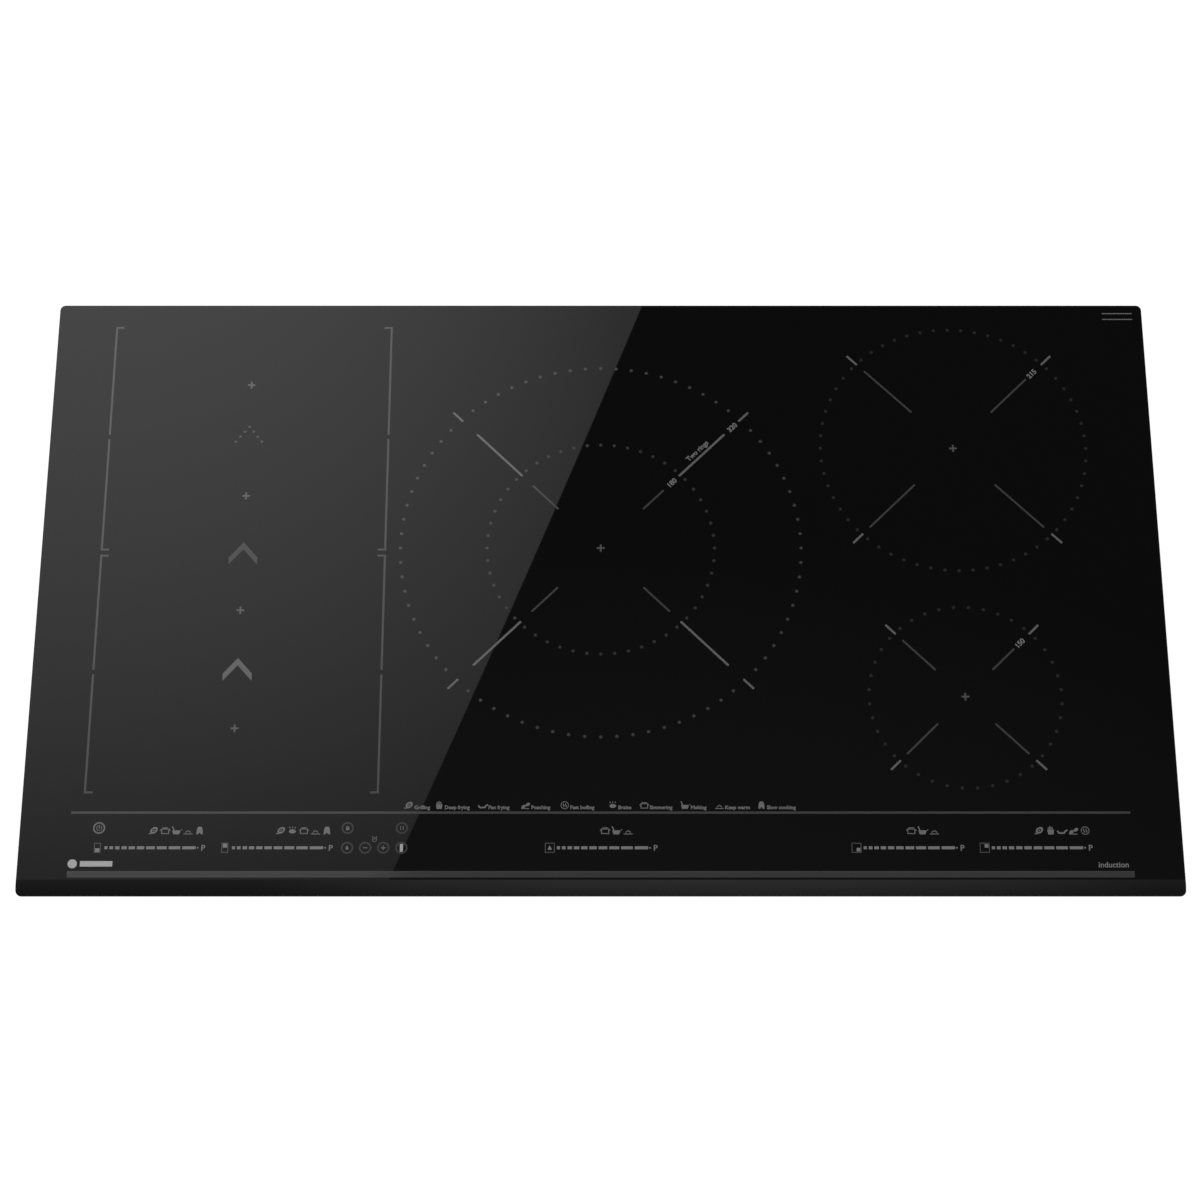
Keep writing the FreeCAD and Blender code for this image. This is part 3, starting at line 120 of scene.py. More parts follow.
SLIDERS = [x for x, _ in solid_centres("light_guides")]
SLIDER_REACH = 36.0
KEYS = [(x, y) for x, y in solid_centres("touch_springs")
        if min(abs(x - centre) for centre in SLIDERS) > SLIDER_REACH]
SLIDER_Y = min(y for _, y in KEYS)
UPPER_KEY_Y = max(y for _, y in KEYS)
UPPER_KEY_XS = sorted(x for x, y in KEYS if y > (SLIDER_Y + UPPER_KEY_Y) / 2)
LOWER_KEY_XS = sorted(x for x, y in KEYS if y < (SLIDER_Y + UPPER_KEY_Y) / 2)


# ================================================================ flat outlines, in millimetres
# A shape is a list of (outer outline, inner outline or None). Outlines run anticlockwise.
def circle(r, sides=40):
    return [(r * cos(2 * pi * i / sides), r * sin(2 * pi * i / sides)) for i in range(sides)]


def disc(r, sides=16):
    return [(circle(r, sides), None)]


def hoop(r, width, sides=40):
    return [(circle(r + width / 2, sides), circle(r - width / 2, sides))]


def corners(x0, x1, y0, y1):
    return [(x0, y0), (x1, y0), (x1, y1), (x0, y1)]


def bar(x0, x1, y0, y1):
    return [(corners(x0, x1, y0, y1), None)]


def window(x0, x1, y0, y1, width):
    return [(corners(x0, x1, y0, y1), corners(x0 + width, x1 - width, y0 + width, y1 - width))]


def polygon(*points):
    area = sum(a[0] * b[1] - b[0] * a[1] for a, b in zip(points, points[1:] + points[:1]))
    return [(list(points) if area > 0 else list(points)[::-1], None)]


SHARPEST_MITRE = 0.3


def stroke(points, width):
    """An open line of even width with mitred corners."""
    half = width / 2
    sides = []
    for i, (x, y) in enumerate(points):
        before = points[max(i - 1, 0)]
        after = points[min(i + 1, len(points) - 1)]
        into = atan2(y - before[1], x - before[0]) if i else None
        out = atan2(after[1] - y, after[0] - x) if i < len(points) - 1 else into
        into = out if into is None else into
        turn = (out - into + pi) % (2 * pi) - pi
        normal = into + turn / 2 + pi / 2
        reach = half / max(cos(turn / 2), SHARPEST_MITRE)
        sides.append((reach * cos(normal), reach * sin(normal)))
    left = [(x + dx, y + dy) for (x, y), (dx, dy) in zip(points, sides)]
    right = [(x - dx, y - dy) for (x, y), (dx, dy) in zip(points, sides)]
    return [(right + left[::-1], None)]


def arc(r, start, end, width, steps=10):
    angles = [radians(start + (end - start) * i / steps) for i in range(steps + 1)]
    return stroke([(r * cos(a), r * sin(a)) for a in angles], width)


def placed(shapes, x=0.0, y=0.0, turn=0.0, size=1.0):
    c, s = cos(radians(turn)) * size, sin(radians(turn)) * size

    def put(outline):
        return None if outline is None else [(x + c * u - s * v, y + s * u + c * v) for u, v in outline]

    return [(put(outer), put(inner)) for outer, inner in shapes]


def together(*groups):
    return [shape for group in groups for shape in group]


def oval(r, sides, wide, high):
    return [(x * wide, y * high) for x, y in circle(r, sides)]


def cross(size, width):
    """A plus sign as one outline."""
    a, b = size / 2, width / 2
    points = [(b, -a), (b, -b), (a, -b), (a, b), (b, b), (b, a), (-b, a), (-b, b), (-a, b), (-a, -b),
              (-b, -b), (-b, -a)]
    return [(points, None)]


# ================================================================ materials
def feed(tree, target, value):
    """Links an output to an input, or sets the input's value; a colour may come as three numbers."""
    if isinstance(value, bpy.types.NodeSocket):
        tree.links.new(value, target)
    elif target.type == "RGBA" and len(value) == 3:
        target.default_value = (*value, 1.0)
    else:
        target.default_value = value


def node(tree, kind, inputs=None, **settings):
    made = tree.nodes.new("ShaderNode" + kind)
    for key, value in settings.items():
        setattr(made, key, value)
    for key, value in (inputs or {}).items():
        feed(tree, made.inputs[key], value)
    return made


def where(tree):
    return node(tree, "TexCoord").outputs["Object"]


def height_in(tree):
    return node(tree, "SeparateXYZ", {"Vector": where(tree)}).outputs["Z"]


def noise(tree, scale, detail=3.0, stretch=(1.0, 1.0, 1.0)):
    """Noise from 0 to 1; scale is in spots to the metre."""
    at = node(tree, "Mapping", {"Vector": where(tree), "Scale": stretch}).outputs["Vector"]
    return node(tree, "TexNoise", {"Vector": at, "Scale": scale, "Detail": detail}).outputs["Fac"]


def cells(tree, scale, output="Color"):
    """Cells like a crystal's; scale is in cells to the metre. Each has a colour of its own."""
    return node(tree, "TexVoronoi", {"Vector": where(tree), "Scale": scale}).outputs[output]


def cell_values(tree, scale, channel=0):
    """One number from 0 to 1 for each cell."""
    return node(tree, "SeparateColor", {"Color": cells(tree, scale)}).outputs[channel]


def math(tree, operation, a, b=0.0):
    made = node(tree, "Math", operation=operation)
    feed(tree, made.inputs[0], a)
    feed(tree, made.inputs[1], b)
    return made.outputs[0]


def spread(tree, value, low, high, to_low=0.0, to_high=1.0):
    inputs = {"Value": value, "From Min": low, "From Max": high, "To Min": to_low, "To Max": to_high}
    return node(tree, "MapRange", inputs).outputs["Result"]


def shades(tree, value, dark, light, low=0.3, high=0.7):
    """A colour between dark and light as value goes from low to high."""
    ramp = node(tree, "ValToRGB", {"Fac": value})
    first, last = ramp.color_ramp.elements
    first.position, last.position = low, high
    first.color, last.color = (*dark, 1.0), (*light, 1.0)
    return ramp.outputs["Color"]


def blended(tree, share, a, b):
    """Colour a, giving way to colour b as share goes from 0 to 1."""
    made = node(tree, "Mix", data_type="RGBA")
    share_in, colour_a, colour_b, colour_out = made.inputs[0], made.inputs[6], made.inputs[7], made.outputs[2]
    feed(tree, share_in, share)
    feed(tree, colour_a, a)
    feed(tree, colour_b, b)
    return colour_out


def finish(name, build):
    """A material whose Principled shader is filled in by build(tree, shader)."""
    made = bpy.data.materials.new(name)
    made.use_nodes = True
    tree = made.node_tree
    build(tree, tree.nodes["Principled BSDF"])
    return made


BUMP_STRENGTH = 0.6


def paint(tree, shader, colour, rough, metal=0.0, bump=None, depth=0.02):
    """Fills the shader. Each value is a constant or a socket; bump is a height, depth its size in mm."""
    feed(tree, shader.inputs["Base Color"], colour)
    feed(tree, shader.inputs["Roughness"], rough)
    feed(tree, shader.inputs["Metallic"], metal)
    if bump is not None:
        raised = node(tree, "Bump", {"Height": bump, "Strength": BUMP_STRENGTH, "Distance": depth * MM})
        tree.links.new(raised.outputs["Normal"], shader.inputs["Normal"])


def grey(level, tint=0.0):
    """A grey, a little bluer for a positive tint and warmer for a negative one."""
    return (level * (1 - tint), level, level * (1 + tint))


GLASS_IOR, INK_IOR = 1.5, 1.7


def black_glass(tree, shader):
    """Polished black glass-ceramic, with the faintest unevenness in its polish."""
    fine = noise(tree, 2500, 2.0)
    paint(tree, shader, shades(tree, fine, grey(0.0024), grey(0.004)), spread(tree, fine, 0, 1, 0.006, 0.016))
    shader.inputs["IOR"].default_value = GLASS_IOR


def silicone(tree, shader):
    soft = noise(tree, 260, 4.0)
    paint(tree, shader, shades(tree, soft, grey(0.016), grey(0.032)), 0.45, 0.0, soft, 0.3)


def foam(tree, shader):
    pores = cells(tree, 2600, "Distance")
    paint(tree, shader, shades(tree, pores, grey(0.012), grey(0.05), 0.0, 0.6), 0.9, 0.0, pores, 0.15)


def steel_sheet(tree, shader):
    """Galvanised sheet: pale crystals about 6 mm across, each with its own sheen."""
    spangle = cell_values(tree, 170)
    cloud = noise(tree, 14, 4.0)
    base = shades(tree, spangle, grey(0.56, 0.02), grey(0.7, 0.02), 0.0, 1.0)
    aged = blended(tree, spread(tree, cloud, 0.35, 0.7, 0.0, 0.3), base, grey(0.48, 0.02))
    rough = spread(tree, spangle, 0, 1, 0.3, 0.42)
    paint(tree, shader, aged, rough, 0.85, noise(tree, 900, 3.0), 0.02)


def spring_steel(tree, shader):
    grain = noise(tree, 700, 4.0, (1.0, 14.0, 1.0))
    heat = noise(tree, 30, 2.0)
    base = blended(tree, spread(tree, heat, 0.45, 0.7, 0.0, 0.4), grey(0.5, 0.02), (0.46, 0.38, 0.28))
    paint(tree, shader, base, spread(tree, grain, 0.2, 0.8, 0.22, 0.42), 1.0, grain, 0.01)


def steel_screw(tree, shader):
    wear = noise(tree, 500, 5.0)
    base = shades(tree, wear, (0.5, 0.49, 0.45), (0.72, 0.72, 0.7))
    paint(tree, shader, base, spread(tree, wear, 0.2, 0.8, 0.2, 0.4), 1.0, wear, 0.02)


def aluminium_sheet(tree, shader):
    grain = noise(tree, 900, 4.0, (0.04, 1.0, 1.0))
    base = shades(tree, grain, grey(0.62, 0.01), grey(0.8, 0.01))
    paint(tree, shader, base, spread(tree, grain, 0.2, 0.8, 0.26, 0.44), 1.0, grain, 0.01)


def copper_litz(tree, shader):
    """Enamelled copper strands in a bundle, laid at a slant."""
    twist = node(tree, "TexWave", {"Vector": where(tree), "Scale": 420.0, "Distortion": 3.0, "Detail": 2.0,
                                   "Detail Scale": 2.0}, bands_direction="DIAGONAL").outputs["Fac"]
    base = shades(tree, twist, (0.16, 0.05, 0.02), (0.62, 0.25, 0.1), 0.1, 0.75)
    paint(tree, shader, base, 0.34, 0.8, twist, 0.25)


def ferrite(tree, shader):
    grit = noise(tree, 3200, 3.0)
    chips = noise(tree, 90, 5.0)
    base = shades(tree, grit, grey(0.03, 0.03), grey(0.085, 0.03))
    paint(tree, shader, blended(tree, spread(tree, chips, 0.6, 0.8, 0, 0.4), base, grey(0.14)), 0.42, 0.2,
          grit, 0.04)


def mica(tree, shader):
    """Pressed mica: overlapping pale flakes."""
    flakes = cell_values(tree, 240)
    cloud = noise(tree, 60, 5.0)
    base = shades(tree, flakes, (0.42, 0.35, 0.24), (0.66, 0.58, 0.43), 0.0, 1.0)
    paint(tree, shader, blended(tree, cloud, base, (0.72, 0.68, 0.58)), spread(tree, flakes, 0, 1, 0.25, 0.5),
          0.0, flakes, 0.03)


def rubber_boot(tree, shader):
    soft = noise(tree, 700, 3.0)
    paint(tree, shader, shades(tree, soft, (0.62, 0.6, 0.54), (0.76, 0.75, 0.7)), 0.55, 0.0, soft, 0.05)


def coil_carrier_plastic(tree, shader):
    """Glass-filled moulding: a dull black with pale flow streaks."""
    flow = noise(tree, 70, 6.0, (1.0, 0.3, 1.0))
    grain = noise(tree, 2800, 2.0)
    base = shades(tree, flow, grey(0.03), grey(0.065), 0.35, 0.75)
    paint(tree, shader, base, spread(tree, grain, 0, 1, 0.5, 0.75), 0.0, grain, 0.05)


def moulded(dark, light):
    """A fine-grained moulded plastic between two greys."""
    def build(tree, shader):
        grain = noise(tree, 3600, 2.0)
        cloud = noise(tree, 40, 3.0)
        base = shades(tree, cloud, grey(dark, 0.02), grey(light, 0.02))
        paint(tree, shader, base, spread(tree, grain, 0, 1, 0.38, 0.62), 0.0, grain, 0.05)
    return build


BOARD_THICK, OVER_TRACKS = 1.6 * MM, 0.3 * MM
BOARD_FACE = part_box("power_board_left")[0].z + BOARD_THICK


def circuit_board(tree, shader):
    """Green solder mask with copper tracks; whatever stands above a board's face is a dark component."""
    tracks = node(tree, "TexBrick", {"Vector": where(tree), "Scale": 90.0, "Mortar Size": 0.035,
                                     "Color1": (0.0, 0.0, 0.0, 1), "Color2": (0.2, 0.2, 0.2, 1),
                                     "Mortar": (1.0, 1.0, 1.0, 1)}).outputs["Color"]
    pads = spread(tree, cells(tree, 170, "Distance"), 0.0, 0.16, 1.0, 0.0)
    mask = shades(tree, noise(tree, 60, 3.0), (0.006, 0.07, 0.03), (0.01, 0.1, 0.045))
    etched = blended(tree, math(tree, "MULTIPLY", tracks, 0.5), mask, (0.03, 0.2, 0.08))
    face = blended(tree, pads, etched, (0.6, 0.58, 0.52))
    height = height_in(tree)
    on_power = math(tree, "LESS_THAN", height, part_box("coil_plate")[0].z)
    above = math(tree, "GREATER_THAN", height, BOARD_FACE + OVER_TRACKS)
    part = math(tree, "MULTIPLY", above, on_power)
    which = cell_values(tree, 60, 1)
    component = shades(tree, which, grey(0.02), (0.34, 0.3, 0.2), 0.5, 0.95)
    paint(tree, shader, blended(tree, part, face, component), 0.36, 0.0, tracks, 0.03)


BARE_RIM = 0.4 * MM


def capacitor_case(tree, shader):
    """A dark, faintly ribbed sleeve with a bare aluminium top."""
    top_of_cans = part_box("capacitors")[1].z
    height = height_in(tree)
    top = math(tree, "GREATER_THAN", height, top_of_cans - BARE_RIM)
    ribs = noise(tree, 500, 2.0, (1.0, 1.0, 0.1))
    sleeve = shades(tree, ribs, (0.01, 0.012, 0.03), (0.02, 0.025, 0.06))
    paint(tree, shader, blended(tree, top, sleeve, grey(0.7)), 0.32, math(tree, "MULTIPLY", top, 0.9),
          ribs, 0.03)


def choke_coat(tree, shader):
    """Lacquered copper turns wound about a core."""
    turns = node(tree, "TexWave", {"Vector": where(tree), "Scale": 260.0, "Distortion": 0.6},
                 bands_direction="Z").outputs["Fac"]
    base = shades(tree, turns, (0.12, 0.04, 0.015), (0.62, 0.27, 0.1), 0.15, 0.7)
    paint(tree, shader, base, 0.3, 0.7, turns, 0.4)


def wire_sleeve(tree, shader):
    """The pale silicone of the leads' sleeves and of their plugs."""
    soft = noise(tree, 400, 3.0)
    paint(tree, shader, shades(tree, soft, (0.5, 0.47, 0.42), (0.66, 0.64, 0.6)), 0.48, 0.0, soft, 0.04)


def brass_clamp(tree, shader):
    wear = noise(tree, 600, 4.0)
    paint(tree, shader, shades(tree, wear, (0.5, 0.33, 0.12), (0.72, 0.52, 0.22)),
          spread(tree, wear, 0, 1, 0.22, 0.42), 1.0, wear, 0.02)


def touch_foam(tree, shader):
    pores = cells(tree, 3000, "Distance")
    paint(tree, shader, shades(tree, pores, grey(0.02), grey(0.08), 0.0, 0.6), 0.7, 0.2, pores, 0.05)


CLEARNESS = 0.7


def clear_plastic(tree, shader):
    haze = noise(tree, 800, 3.0)
    paint(tree, shader, shades(tree, haze, grey(0.75, 0.02), grey(0.9, 0.02)), 0.12, 0.0, haze, 0.02)
    shader.inputs["Transmission Weight"].default_value = CLEARNESS


def ink(level):
    """Screen-printed enamel: an even grey with fine pinholes, as glossy as the glass round it."""
    def build(tree, shader):
        grains = noise(tree, 5200, 2.0)
        paint(tree, shader, shades(tree, grains, grey(level * 0.82), grey(level * 1.1)),
              spread(tree, grains, 0, 1, 0.05, 0.14))
        shader.inputs["IOR"].default_value = INK_IOR
    return build


FINISHES = {
    "black_glass": black_glass, "silicone": silicone, "foam": foam, "steel_sheet": steel_sheet,
    "spring_steel": spring_steel, "steel_screw": steel_screw, "aluminium_sheet": aluminium_sheet,
    "copper_litz": copper_litz, "ferrite": ferrite, "mica": mica, "rubber_boot": rubber_boot,
    "coil_carrier_plastic": coil_carrier_plastic, "black_plastic": moulded(0.022, 0.034),
    "grey_plastic": moulded(0.2, 0.26), "circuit_board": circuit_board, "capacitor_case": capacitor_case,
    "choke_coat": choke_coat, "wire_sleeve": wire_sleeve, "brass_clamp": brass_clamp,
    "touch_foam": touch_foam, "clear_plastic": clear_plastic,
}
made_finishes = {}


def finish_of(slot):
    if slot not in made_finishes:
        made_finishes[slot] = finish("hob_" + slot, FINISHES[slot])
    return made_finishes[slot]


def dress_nodes():
    """Gives every CAD node the finish of its own material slot."""
    for part in frame["nodes"].values():
        slot = part.data.materials[0].name.split(".")[0]
        part.data.materials[0] = finish_of(slot)


# How pale each kind of print is, from 0 for black to 1 for white
PALENESS = {
    "badge": 0.5, "lettering": 0.21, "dashes": 0.24, "symbols": 0.2, "thick_lines": 0.155, "crosses": 0.1,
    "chevron": 0.125, "brackets": 0.06, "faint_chevron": 0.04, "rings": 0.045, "edges": 0.062,
    "thin_lines": 0.063, "outer_dots": 0.058, "bar": 0.05, "inner_dots": 0.04, "zone_dots": 0.027,
}
INKS = {kind: finish("print_" + kind, ink(level)) for kind, level in PALENESS.items()}


# ================================================================ prints and lettering
CAPITAL_SHARE, CURVE_STEPS = 0.7, 3


def lettering(text, height, x, y, turn=0.0, bold=0.0):
    """Extruded lettering as a mesh. The height is a capital's; it and x, y and bold are in millimetres."""
    curve = bpy.data.curves.new("lettering", "FONT")
    curve.body = text
    curve.size = height / CAPITAL_SHARE
    curve.resolution_u = CURVE_STEPS
    curve.offset = bold
    curve.extrude = (PRINT_HIGH - PRINT_LOW) / 2 / MM
    maker = bpy.data.objects.new("lettering", curve)
    bpy.context.scene.collection.objects.link(maker)
    bpy.context.view_layer.update()
    mesh = bpy.data.meshes.new_from_object(maker.evaluated_get(bpy.context.evaluated_depsgraph_get()))
    bpy.data.objects.remove(maker)
    bpy.data.curves.remove(curve)
    place = Matrix.Translation((x * MM, y * MM, (PRINT_LOW + PRINT_HIGH) / 2))
    mesh.transform(place @ Matrix.Rotation(radians(turn), 4, "Z") @ Matrix.Scale(MM, 4))
    return mesh


def wall(mesh, low, high):
    for i in range(len(low)):
        j = (i + 1) % len(low)
        mesh.faces.new((low[i], low[j], high[j], high[i]))


def add_prism(mesh, outer, inner):
    low = [mesh.verts.new((x * MM, y * MM, PRINT_LOW)) for x, y in outer]
    high = [mesh.verts.new((x * MM, y * MM, PRINT_HIGH)) for x, y in outer]
    wall(mesh, low, high)
    if inner is None:
        mesh.faces.new(high)
        mesh.faces.new(low[::-1])
        return
    low_in = [mesh.verts.new((x * MM, y * MM, PRINT_LOW)) for x, y in inner]
    high_in = [mesh.verts.new((x * MM, y * MM, PRINT_HIGH)) for x, y in inner]
    wall(mesh, high_in, low_in)
    wall(mesh, high, high_in)
    wall(mesh, low_in, low)


def piece(name, mesh, body, finish):
    """Turns a bmesh into a named piece that rides on a body."""
    data = bpy.data.meshes.new(name)
    mesh.to_mesh(data)
    mesh.free()
    data.materials.append(finish)
    made = bpy.data.objects.new(name, data)
    bpy.context.scene.collection.objects.link(made)
    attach(made, body)
    return made


def printed(name, kind, shapes, texts=()):
    """One print on the glass, in the ink of its kind: closed prisms a few hundredths of a mm thick."""
    mesh = bmesh.new()
    for outer, inner in shapes:
        add_prism(mesh, outer, inner)
    for text in texts:
        letters = lettering(*text[:-1], **text[-1])
        mesh.from_mesh(letters)
        bpy.data.meshes.remove(letters)
    bmesh.ops.remove_doubles(mesh, verts=mesh.verts, dist=WELD)
    bmesh.ops.recalc_face_normals(mesh, faces=mesh.faces)
    return piece("print_" + name, mesh, "hob", INKS[kind])


# ================================================================ the printed pattern
DOT_R, DOT_SIDES, SMALL_DOT_R, SMALL_DOT_SIDES = 1.35, 12, 1.1, 10
CROSS_SIZE, CROSS_WIDTH = 6.2, 1.5
THIN, THICK, TICK, BRACKET_WIDTH = 1.5, 1.8, 1.7, 1.7
DIAGONALS = (45, 135, 225, 315)
LABEL_DIAGONAL = 45
NUMBER_HEIGHT, NUMBER_BOLD, WORD_BOLD = 4.2, 0.2, 0.12
SIDE_HEIGHT, SIDE_BOLD, SIDE_BESIDE = 4.0, 0.16, 5.4
SAME_ANGLE = 0.5


def dots(centre, r, count, phase=0.0, skip=()):
    """A dotted circle; dots at the angles in skip are left out."""
    shapes = []
    for i in range(count):
        angle = phase + 360.0 * i / count
        if not any(abs((angle - s + 180) % 360 - 180) < SAME_ANGLE for s in skip):
            at = (centre[0] + r * cos(radians(angle)), centre[1] + r * sin(radians(angle)))
            shapes += placed(disc(DOT_R, DOT_SIDES), *at)
    return shapes


def spokes(centre, lines, width):
    """Radial bars; lines gives each diagonal's (start, end) radius."""
    shapes = []
    for angle, (r0, r1) in lines.items():
        shapes += placed(bar(r0, r1, -width / 2, width / 2), *centre, angle)
    return shapes


def radial_text(text, centre, r, height=NUMBER_HEIGHT, bold=NUMBER_BOLD, beside=0.0):
    """Lettering that runs outwards along the labelled diagonal, its middle line on it or beside it."""
    a = radians(LABEL_DIAGONAL)
    down = beside - height / 2
    x = centre[0] + r * cos(a) - down * sin(a)
    y = centre[1] + r * sin(a) + down * cos(a)
    return (text, height, x, y, {"turn": LABEL_DIAGONAL, "bold": bold})


def every_diagonal(span, span_at_label=None):
    """The (start, end) radius of each diagonal's line, which may differ where the label stands."""
    return {angle: span_at_label or span if angle == LABEL_DIAGONAL else span for angle in DIAGONALS}


def centre_mark(at):
    return placed(cross(CROSS_SIZE, CROSS_WIDTH), *at)


# The two single zones: what is printed on each, with radii and spans in millimetres
SINGLE_ZONES = {
    "rear_right": {"centre": REAR_RIGHT, "label": "215", "label_r": 91.5, "dots_r": 108.3, "count": 60,
                   "phase": 0.0, "line": (46.0, 99.5), "line_at_label": (46.0, 89.0), "tick": (107.5, 119.0)},
    "front_right": {"centre": FRONT_RIGHT, "label": "150", "label_r": 59.5, "dots_r": 76.0, "count": 40,
                    "phase": 4.5, "line": (32.0, 67.5), "line_at_label": (32.0, 57.5), "tick": (75.0, 86.0)},
}


def round_zone(name, centre, label, label_r, dots_r, count, phase, line, line_at_label, tick):
    """A single zone: a dotted circle, four lines with a tick beyond each, a cross and its diameter."""
    printed(name + "_lines", "thin_lines", spokes(centre, every_diagonal(line, line_at_label), THIN))
    printed(name + "_ticks", "thick_lines", spokes(centre, every_diagonal(tick), TICK))
    printed(name + "_cross", "crosses", centre_mark(centre))
    printed(name + "_label", "lettering", [], [radial_text(label, centre, label_r)])
    printed(name + "_dots", "zone_dots", dots(centre, dots_r, count, phase))


INNER_LINE, INNER_LINE_AT_LABEL = (48.5, 78.0), (48.5, 72.0)
OUTER_LINE, OUTER_TICK = (90.0, 143.0), (159.5, 171.0)
INNER_LABEL_R, OUTER_LABEL_R, SIDE_TEXT_R = 77.0, 147.5, 105.0
INNER_DOTS_R, INNER_DOTS, OUTER_DOTS_R, OUTER_DOTS = 91.5, 52, 161.2, 80


def dual_zone():
    """The large centre zone: two dotted circles, long diagonals and three labels."""
    thin = spokes(CENTRE, every_diagonal(INNER_LINE, INNER_LINE_AT_LABEL), THIN)
    bold = spokes(CENTRE, every_diagonal(OUTER_LINE), THICK)
    bold += spokes(CENTRE, every_diagonal(OUTER_TICK), TICK)
    labels = [radial_text("180", CENTRE, INNER_LABEL_R), radial_text("320", CENTRE, OUTER_LABEL_R),
              radial_text("Two rings", CENTRE, SIDE_TEXT_R, SIDE_HEIGHT, SIDE_BOLD, SIDE_BESIDE)]
    printed("centre_lines", "thin_lines", thin)
    printed("centre_thick_lines", "thick_lines", bold)
    printed("centre_cross", "crosses", centre_mark(CENTRE))
    printed("centre_labels", "lettering", [], labels)
    printed("centre_outer_dots", "outer_dots", dots(CENTRE, OUTER_DOTS_R, OUTER_DOTS, skip=DIAGONALS))
    printed("centre_inner_dots", "inner_dots", dots(CENTRE, INNER_DOTS_R, INNER_DOTS))


BRACKET_HALF_X, BRACKET_HALF_Y, BRACKET_TICK = 114.0, 100.1, 6.0
BRACKET_GAP, BRACKET_SHIFT = 4.0, 2.75


def bracket(x, y):
    """Two upright lines, each broken in the middle, with short ticks turned inwards at their ends."""
    shapes = []
    for side in (-1, 1):
        for up in (-1, 1):
            edge = side * BRACKET_HALF_X
            points = [(edge - side * BRACKET_TICK, up * BRACKET_HALF_Y), (edge, up * BRACKET_HALF_Y),
                      (edge, up * BRACKET_GAP / 2)]
            shapes += placed(stroke(points, BRACKET_WIDTH), x, y)
    return shapes


CHEVRON_DROP, CHEVRON_HALF, CHEVRON_THICK = 19.4, 11.5, 6.2


def chevron(apex_y):
    """An arrowhead pointing away from the user, about x = 0, with upright feet."""
    foot = apex_y - CHEVRON_DROP
    shoulder = foot + CHEVRON_THICK
    return polygon((0, apex_y), (-CHEVRON_HALF, shoulder), (-CHEVRON_HALF, foot), (0, apex_y - CHEVRON_THICK),
                   (CHEVRON_HALF, foot), (CHEVRON_HALF, shoulder))


DOTTED_APEX, MIDDLE_APEX, FRONT_APEX = 12.0, 9.0, 9.2
TRAIL_STEPS, TRAIL_X, TRAIL_Y = 4, 3.55, 4.5


def dotted_chevron(apex_y):
    """An arrowhead of small dots that fall away on both sides of its tip."""
    shapes = []
    for step in range(TRAIL_STEPS):
        for side in (-1, 1) if step else (1,):
            at = (FLEX_X + side * TRAIL_X * step, apex_y - TRAIL_Y * step)
            shapes += placed(disc(SMALL_DOT_R, SMALL_DOT_SIDES), *at)
    return shapes


def flex_zone():
    lines = bracket(FLEX_X, FLEX_REAR[1] + BRACKET_SHIFT) + bracket(FLEX_X, FLEX_FRONT[1] - BRACKET_SHIFT)
    printed("flex_brackets", "brackets", lines)
    printed("flex_crosses", "crosses", together(*[centre_mark(at) for at in FLEX_CROSSES]))
    between = (FLEX_REAR[1] + FLEX_FRONT[1]) / 2
    printed("flex_chevron_dotted", "brackets", dotted_chevron(FLEX_REAR[1] + DOTTED_APEX))
    printed("flex_chevron_middle", "faint_chevron", placed(chevron(between + MIDDLE_APEX), FLEX_X))
    printed("flex_chevron_front", "chevron", placed(chevron(FLEX_FRONT[1] + FRONT_APEX), FLEX_X))


# ---------------------------------------------------------------- small cooking symbols, about 7 mm across
def icon_grill():
    steak = [(oval(2.7, 20, 1.15, 0.8), oval(1.4, 20, 1.15, 0.8))]
    bone = bar(-1.0, 1.0, -0.3, 0.3)
    return together(placed(steak, 0.2, 0.2, 40), bar(-3.6, -1.2, -2.7, -2.0), placed(bone, 0.2, 0.2, 40))


def icon_deep_fry():
    tub = polygon((-1.9, -3.0), (1.9, -3.0), (2.5, 0.8), (-2.5, 0.8))
    sticks = [placed(bar(-0.45, 0.45, 1.1, top), x) for x, top in ((-1.6, 2.4), (-0.3, 3.3), (1.1, 2.7))]
    return together(tub, *sticks)


def icon_pan():
    return stroke([(-3.6, -0.2), (-2.4, -1.9), (1.4, -1.9), (2.3, -0.4), (3.9, 0.4)], 1.2)


def icon_poach():
    egg = [(oval(1.5, 18, 1.25, 0.8), None)]
    water = stroke([(-3.5, -2.7), (2.6, -2.7)], 0.6)
    return together(placed(egg, -1.7, -1.1, 35), placed(egg, 1.7, 0.6, 35), water)


def icon_boil():
    steam = [placed(stroke([(0, -1.6), (0.5, -0.6), (-0.4, 0.4), (0, 1.5)], 0.55), x) for x in (-0.9, 0.9)]
    return together(hoop(2.9, 0.5, 24), *steam)


def icon_braise():
    bean = [(oval(2.0, 20, 1.3, 0.8), None)]
    leaves = [placed(bar(-0.3, 0.3, 1.8, 3.1), x, 0, turn) for x, turn in ((-1.2, 18), (0, 0), (1.2, -18))]
    return together(placed(bean, 0, -0.6), *leaves)


def icon_pot():
    body = window(-2.9, 2.9, -2.6, 1.5, 0.6)
    return body + bar(-2.0, 2.0, 1.8, 2.4) + bar(-3.7, -3.1, -0.2, 0.8) + bar(3.1, 3.7, -0.2, 0.8)


def icon_melt():
    bowl = polygon((-2.4, -2.9), (1.8, -2.9), (3.0, 0.2), (-3.2, 0.2))
    return bowl + stroke([(-3.4, 3.2), (-2.0, 0.3)], 0.8) + stroke([(3.4, 0.2), (4.0, 0.9)], 0.6)


def icon_warm():
    dome = placed(arc(2.0, 20, 160, 0.6), 0, -2.3)
    return dome + bar(-3.3, 3.3, -2.9, -2.3) + disc(0.4, 8)


